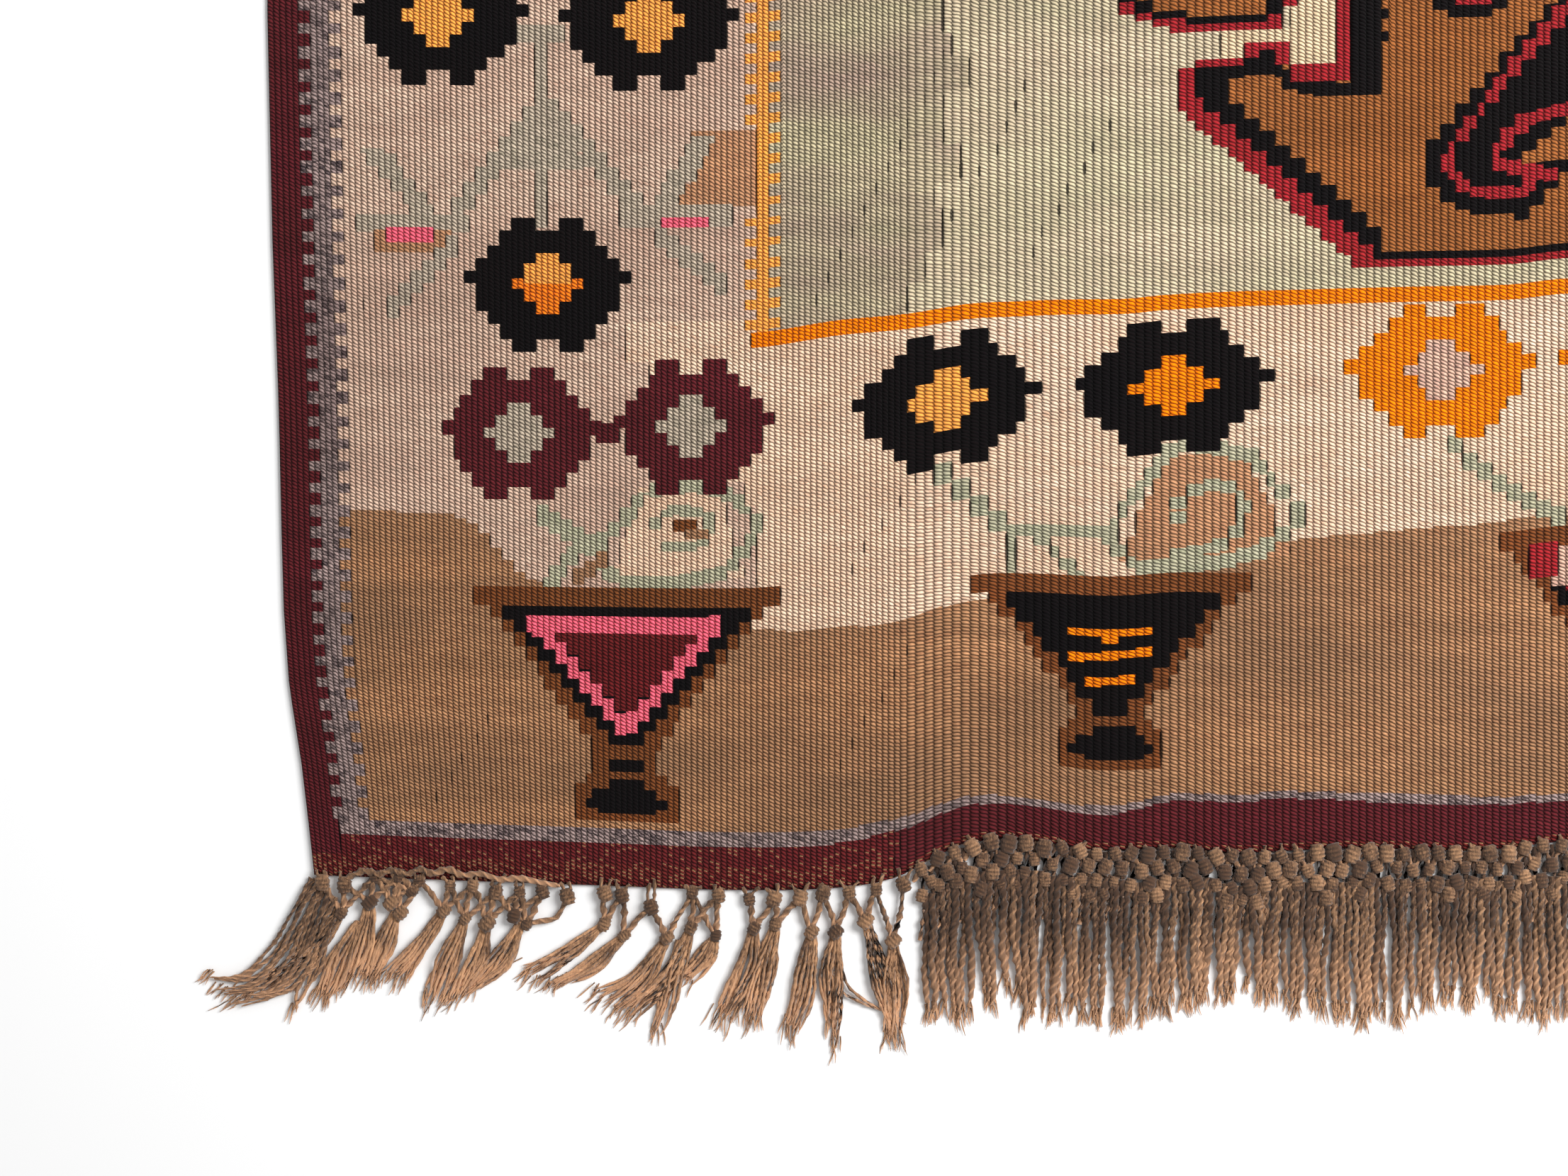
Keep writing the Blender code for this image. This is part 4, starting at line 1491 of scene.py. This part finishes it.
def knot_shape():
    """One wrapped knot, a small barrel with the ridges of its wraps, its axis along Y."""
    points, grooves = [], []
    for row in range(KNOT_ROWS + 1):
        share = row / KNOT_ROWS
        for side in range(KNOT_SIDES):
            angle = 2 * math.pi * side / KNOT_SIDES
            wraps = KNOT_WRAPS * share + angle / (2 * math.pi)
            ridge = 0.5 + 0.5 * math.cos(2 * math.pi * wraps)
            swell = 0.55 + 0.45 * math.sin(math.pi * (0.12 + 0.76 * share))
            reach = KNOT_REACH * swell * (0.76 + 0.26 * ridge)
            grooves.append(1 - ridge)
            points.append((
                reach * math.cos(angle), KNOT_LENGTH * (share - 0.5),
                KNOT_FLATNESS * reach * math.sin(angle),
            ))
    faces = []
    for first in range(0, KNOT_ROWS * KNOT_SIDES, KNOT_SIDES):
        for side in range(KNOT_SIDES):
            low, high = first + side, first + (side + 1) % KNOT_SIDES
            faces.append((low, high, high + KNOT_SIDES, low + KNOT_SIDES))
    faces.append(tuple(range(KNOT_SIDES))[::-1])
    faces.append(tuple(KNOT_ROWS * KNOT_SIDES + side for side in range(KNOT_SIDES)))
    mesh = bpy.data.meshes.new("wrapped_knot")
    mesh.from_pydata([tuple(c / 1000 for c in point) for point in points], [], faces)
    made = bmesh.new()
    made.from_mesh(mesh)
    bmesh.ops.recalc_face_normals(made, faces=made.faces)
    made.to_mesh(mesh)
    made.free()
    numbers_on(mesh, "groove", "FLOAT", grooves)
    return show(mesh)


def yarn_tree():
    """Yarns along their guides and a knot at each knot place, joined in one mesh."""
    tree = bpy.data.node_groups.new("knotted_yarns", "GeometryNodeTree")
    face = tree.interface
    face.new_socket("Guides", in_out="INPUT", socket_type="NodeSocketGeometry")
    for name, kind in (
        ("Knot Places", "NodeSocketObject"), ("Knot", "NodeSocketObject"),
        ("Rope Sides", "NodeSocketInt"), ("Yarn Sides", "NodeSocketInt"),
        ("Wisp Sides", "NodeSocketInt"), ("Rope Flatness", "NodeSocketFloat"),
        ("Yarn Material", "NodeSocketMaterial"),
    ):
        face.new_socket(name, in_out="INPUT", socket_type=kind)
    face.new_socket("Fringe", in_out="OUTPUT", socket_type="NodeSocketGeometry")
    build = Wiring(tree)
    given = build.node("NodeGroupInput").outputs
    out = build.node("NodeGroupOutput")

    def named(name, kind="FLOAT"):
        read_out = build.node("GeometryNodeInputNamedAttribute", data_type=kind, Name=name)
        return read_out.outputs["Attribute"]

    joined = build.node("GeometryNodeJoinGeometry")
    for kind, sides, flatness in (
        (ROPE, "Rope Sides", given["Rope Flatness"]), (STRAND, "Yarn Sides", 1.0),
        (WISP, "Wisp Sides", 1.0),
    ):
        chosen = build.node("FunctionNodeCompare", data_type="FLOAT", operation="EQUAL")
        build.join(named("kind"), chosen.inputs[0])
        chosen.inputs[1].default_value = float(kind)
        curves = build.node("GeometryNodeMeshToCurve", Mesh=given["Guides"])
        build.join(chosen.outputs["Result"], curves.inputs["Selection"])
        tilted = build.node("GeometryNodeSetCurveTilt", Curve=curves.outputs["Curve"])
        build.join(named("turn"), tilted.inputs["Tilt"])
        circle = build.node("GeometryNodeCurvePrimitiveCircle", Radius=1.0)
        build.join(given[sides], circle.inputs["Resolution"])
        # Where the twisted plies dip: the yarn material paints shade there.
        waist = 0.0
        if kind == ROPE:
            high = build.parts(build.node("GeometryNodeInputPosition").outputs["Position"])["Y"]
            waist = build.times(high, high)
        grooved = build.node(
            "GeometryNodeStoreNamedAttribute", domain="POINT", Name="groove",
            Geometry=circle.outputs["Curve"], Value=waist,
        )
        pressed = build.node("GeometryNodeTransform", Geometry=grooved.outputs["Geometry"])
        build.join(build.point(1.0, flatness, 1.0), pressed.inputs["Scale"])
        tube = build.node("GeometryNodeCurveToMesh", Curve=tilted.outputs["Curve"])
        build.join(pressed.outputs["Geometry"], tube.inputs["Profile Curve"])
        build.join(named("thickness"), tube.inputs["Scale"])
        tube.inputs["Fill Caps"].default_value = True
        build.join(tube.outputs["Mesh"], joined.inputs["Geometry"])
    places = build.node("GeometryNodeObjectInfo", Object=given["Knot Places"])
    knot = build.node("GeometryNodeObjectInfo", Object=given["Knot"])
    turned = build.node("FunctionNodeEulerToRotation")
    build.join(named("knot_turn", "FLOAT_VECTOR"), turned.inputs[0])
    copies = build.node(
        "GeometryNodeInstanceOnPoints", Points=places.outputs["Geometry"],
        Instance=knot.outputs["Geometry"],
    )
    build.join(turned.outputs[0], copies.inputs["Rotation"])
    build.join(named("knot_size"), copies.inputs["Scale"])
    real = build.node("GeometryNodeRealizeInstances", Geometry=copies.outputs["Instances"])
    build.join(real.outputs["Geometry"], joined.inputs["Geometry"])
    smooth_faces = build.node("GeometryNodeSetShadeSmooth", Geometry=joined.outputs["Geometry"])
    all_real = build.node("GeometryNodeRealizeInstances", Geometry=smooth_faces.outputs["Geometry"])
    dyed = build.node("GeometryNodeSetMaterial", Geometry=all_real.outputs["Geometry"])
    build.join(given["Yarn Material"], dyed.inputs["Material"])
    build.join(dyed.outputs["Geometry"], out.inputs["Fringe"])
    return tree


def spun_fringe(fringe, tree, knot, material):
    """One fringe as a plain mesh."""
    guides = bpy.data.meshes.new(fringe.name + "_guides")
    guides.from_pydata(fringe.points, fringe.edges, [])
    for name in ("thickness", "turn", "tone", "tip", "kind"):
        numbers_on(guides, name, "FLOAT", getattr(fringe, name))
    places = bpy.data.meshes.new(fringe.name + "_knots")
    places.from_pydata(fringe.knots, [], [])
    numbers_on(places, "knot_turn", "FLOAT_VECTOR", fringe.knot_turn)
    numbers_on(places, "knot_size", "FLOAT", fringe.knot_size)
    numbers_on(places, "tone", "FLOAT", fringe.knot_tone)
    guide_piece, knot_places = show(guides), show(places)
    maker = guide_piece.modifiers.new("knotted_yarns", "NODES")
    maker.node_group = tree
    values = {
        "Knot Places": knot_places, "Knot": knot, "Rope Sides": 6, "Yarn Sides": 4,
        "Wisp Sides": 3, "Rope Flatness": 0.62, "Yarn Material": material,
    }
    for socket in tree.interface.items_tree:
        if socket.name in values:
            maker[socket.identifier] = values[socket.name]
    bpy.context.view_layer.update()
    ready = guide_piece.evaluated_get(bpy.context.evaluated_depsgraph_get())
    mesh = bpy.data.meshes.new_from_object(ready)
    mesh.name = fringe.name
    for used in (guide_piece, knot_places):
        bpy.data.objects.remove(used)
    flatten(mesh)
    return show(mesh)


YARN_DARK = (84, 58, 40)
YARN_LIGHT = (206, 156, 114)
YARN_TIP = (228, 172, 130)
YARN_FIBRES = (1500.0, 420.0, 1500.0)  # for a metre
YARN_PATCHES = 140.0
TIP_START = 0.35  # share of a yarn's length from which its colour warms
TIP_SHARE = 0.7  # of the tip's colour, at the very end
GROOVE_SHADE = 0.74
YARN_BRIGHTNESS = 1.08


def yarn_material():
    """Undyed camel yarn: painted shade between the plies and the knots' wraps, warmer and paler at
    the tips.
    """
    made = bpy.data.materials.new("camel_yarn")
    made.use_nodes = True
    build = Wiring(made.node_tree)
    shader = made.node_tree.nodes["Principled BSDF"]
    shader.inputs["Sheen Weight"].default_value = 0.2
    shader.inputs["Sheen Roughness"].default_value = 0.6
    shader.inputs["Specular IOR Level"].default_value = 0.2
    shader.inputs["Roughness"].default_value = 0.9

    def value_of(name):
        return build.node("ShaderNodeAttribute", attribute_name=name).outputs["Fac"]

    where = build.node("ShaderNodeTexCoord").outputs["Object"]
    fibres = build.noise(build.stretched(where, YARN_FIBRES), 2.0, 0.6)
    patches = build.noise(where, 2.0, 0.6, YARN_PATCHES)
    share = build.maths("MULTIPLY_ADD", value_of("tone"), 0.55, build.spread(fibres, 1.3, 0.1))
    share = build.spread(patches, 0.9, share, clamp=True)
    grey = build.blend(share, linear(YARN_DARK), linear(YARN_LIGHT))
    tips = build.node("ShaderNodeMapRange", Value=value_of("tip"))
    tips.inputs["From Min"].default_value = TIP_START
    tips.inputs["To Max"].default_value = TIP_SHARE
    warm = build.blend(tips.outputs["Result"], grey, linear(YARN_TIP))
    # Painted shade in the grooves between the plies and the knots' wraps.
    light = build.maths("MULTIPLY_ADD", value_of("groove"), -GROOVE_SHADE, YARN_BRIGHTNESS)
    bump = build.node("ShaderNodeBump", Height=fibres, Strength=0.6, Distance=0.0004)
    build.join(build.dimmed(warm, light), shader.inputs["Base Color"])
    build.join(bump.outputs["Normal"], shader.inputs["Normal"])
    return made


FINE_REACH = (256, 520)  # where the thick fringe begins and ends
PLAIN_REACH = (522, 1212)
FAR_REACH = (9, 1212)
NEAR_SEED = 11
FAR_SEED = 12


def knotted_fringes():
    """Both fringes, each one piece."""
    near = Fringe("near_knotted_fringe", NEAR, -1, NEAR_HEM, NEAR_SEED)
    knotted_tassels(near)
    thick_fringe(near, *FINE_REACH, THICK_PITCH, ROPES_BOTTOM, FINE)
    thick_fringe(near, *PLAIN_REACH, PLAIN_PITCH, ROPES_BOTTOM, PLAIN)
    far = Fringe("far_knotted_fringe", NEAR + LENGTH, 1, FAR_HEM, FAR_SEED)
    thick_fringe(far, *FAR_REACH, PLAIN_PITCH, FAR_BOTTOM, PLAIN)
    tree, knot, material = yarn_tree(), knot_shape(), yarn_material()
    made = [spun_fringe(fringe, tree, knot, material) for fringe in (near, far)]
    bpy.data.objects.remove(knot)
    return made


def stage_floor():
    """A wide pale floor."""
    mesh = bpy.data.meshes.new("floor")
    corners = [(-1, -1), (1, -1), (1, 1), (-1, 1)]
    mesh.from_pydata([(FLOOR_REACH * x, FLOOR_REACH * y, 0) for x, y in corners], [], [(0, 1, 2, 3)])
    paint = bpy.data.materials.new("pale_floor")
    paint.use_nodes = True
    shader = paint.node_tree.nodes["Principled BSDF"]
    shader.inputs["Base Color"].default_value = FLOOR_PAINT
    shader.inputs["Roughness"].default_value = 0.9
    mesh.materials.append(paint)
    floor = show(mesh)
    floor.location.z = -FLOOR_DROP


def studio():
    """Pale floor, soft sky, one large light panel, and the camera straight above the corner."""
    stage_floor()
    scene = bpy.context.scene
    world = bpy.data.worlds.new("soft_sky")
    world.use_nodes = True
    world.node_tree.nodes["Background"].inputs["Color"].default_value = (1, 1, 1, 1)
    world.node_tree.nodes["Background"].inputs["Strength"].default_value = SKY_STRENGTH
    scene.world = world
    panel = bpy.data.lights.new("key_panel", "AREA")
    panel.energy, panel.size = PANEL_POWER, PANEL_SIZE
    lamp = bpy.data.objects.new("key_panel", panel)
    lamp.location = PANEL_SPOT
    lamp.rotation_euler = (-Vector(PANEL_SPOT)).to_track_quat("-Z", "Y").to_euler()
    scene.collection.objects.link(lamp)
    scene.view_settings.view_transform = "Standard"
    lens = bpy.data.cameras.new("photo_camera")
    lens.sensor_width = SENSOR
    lens.lens = SENSOR * VIEW_HEIGHT / VIEW_WIDTH
    lens.clip_start, lens.clip_end = 0.05, 50
    camera = bpy.data.objects.new("photo_camera", lens)
    camera.location = (LEFT + VIEW_ACROSS, NEAR + VIEW_ALONG, VIEW_HEIGHT)
    scene.collection.objects.link(camera)
    scene.camera = camera


cloth = weave_cloth()
studio()
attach(cloth, "root")
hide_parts("woven_cloth")
fringes = knotted_fringes()
for fringe, node in zip(fringes, ("near_fringe", "far_fringe")):
    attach(fringe, "root")
    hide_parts(node)
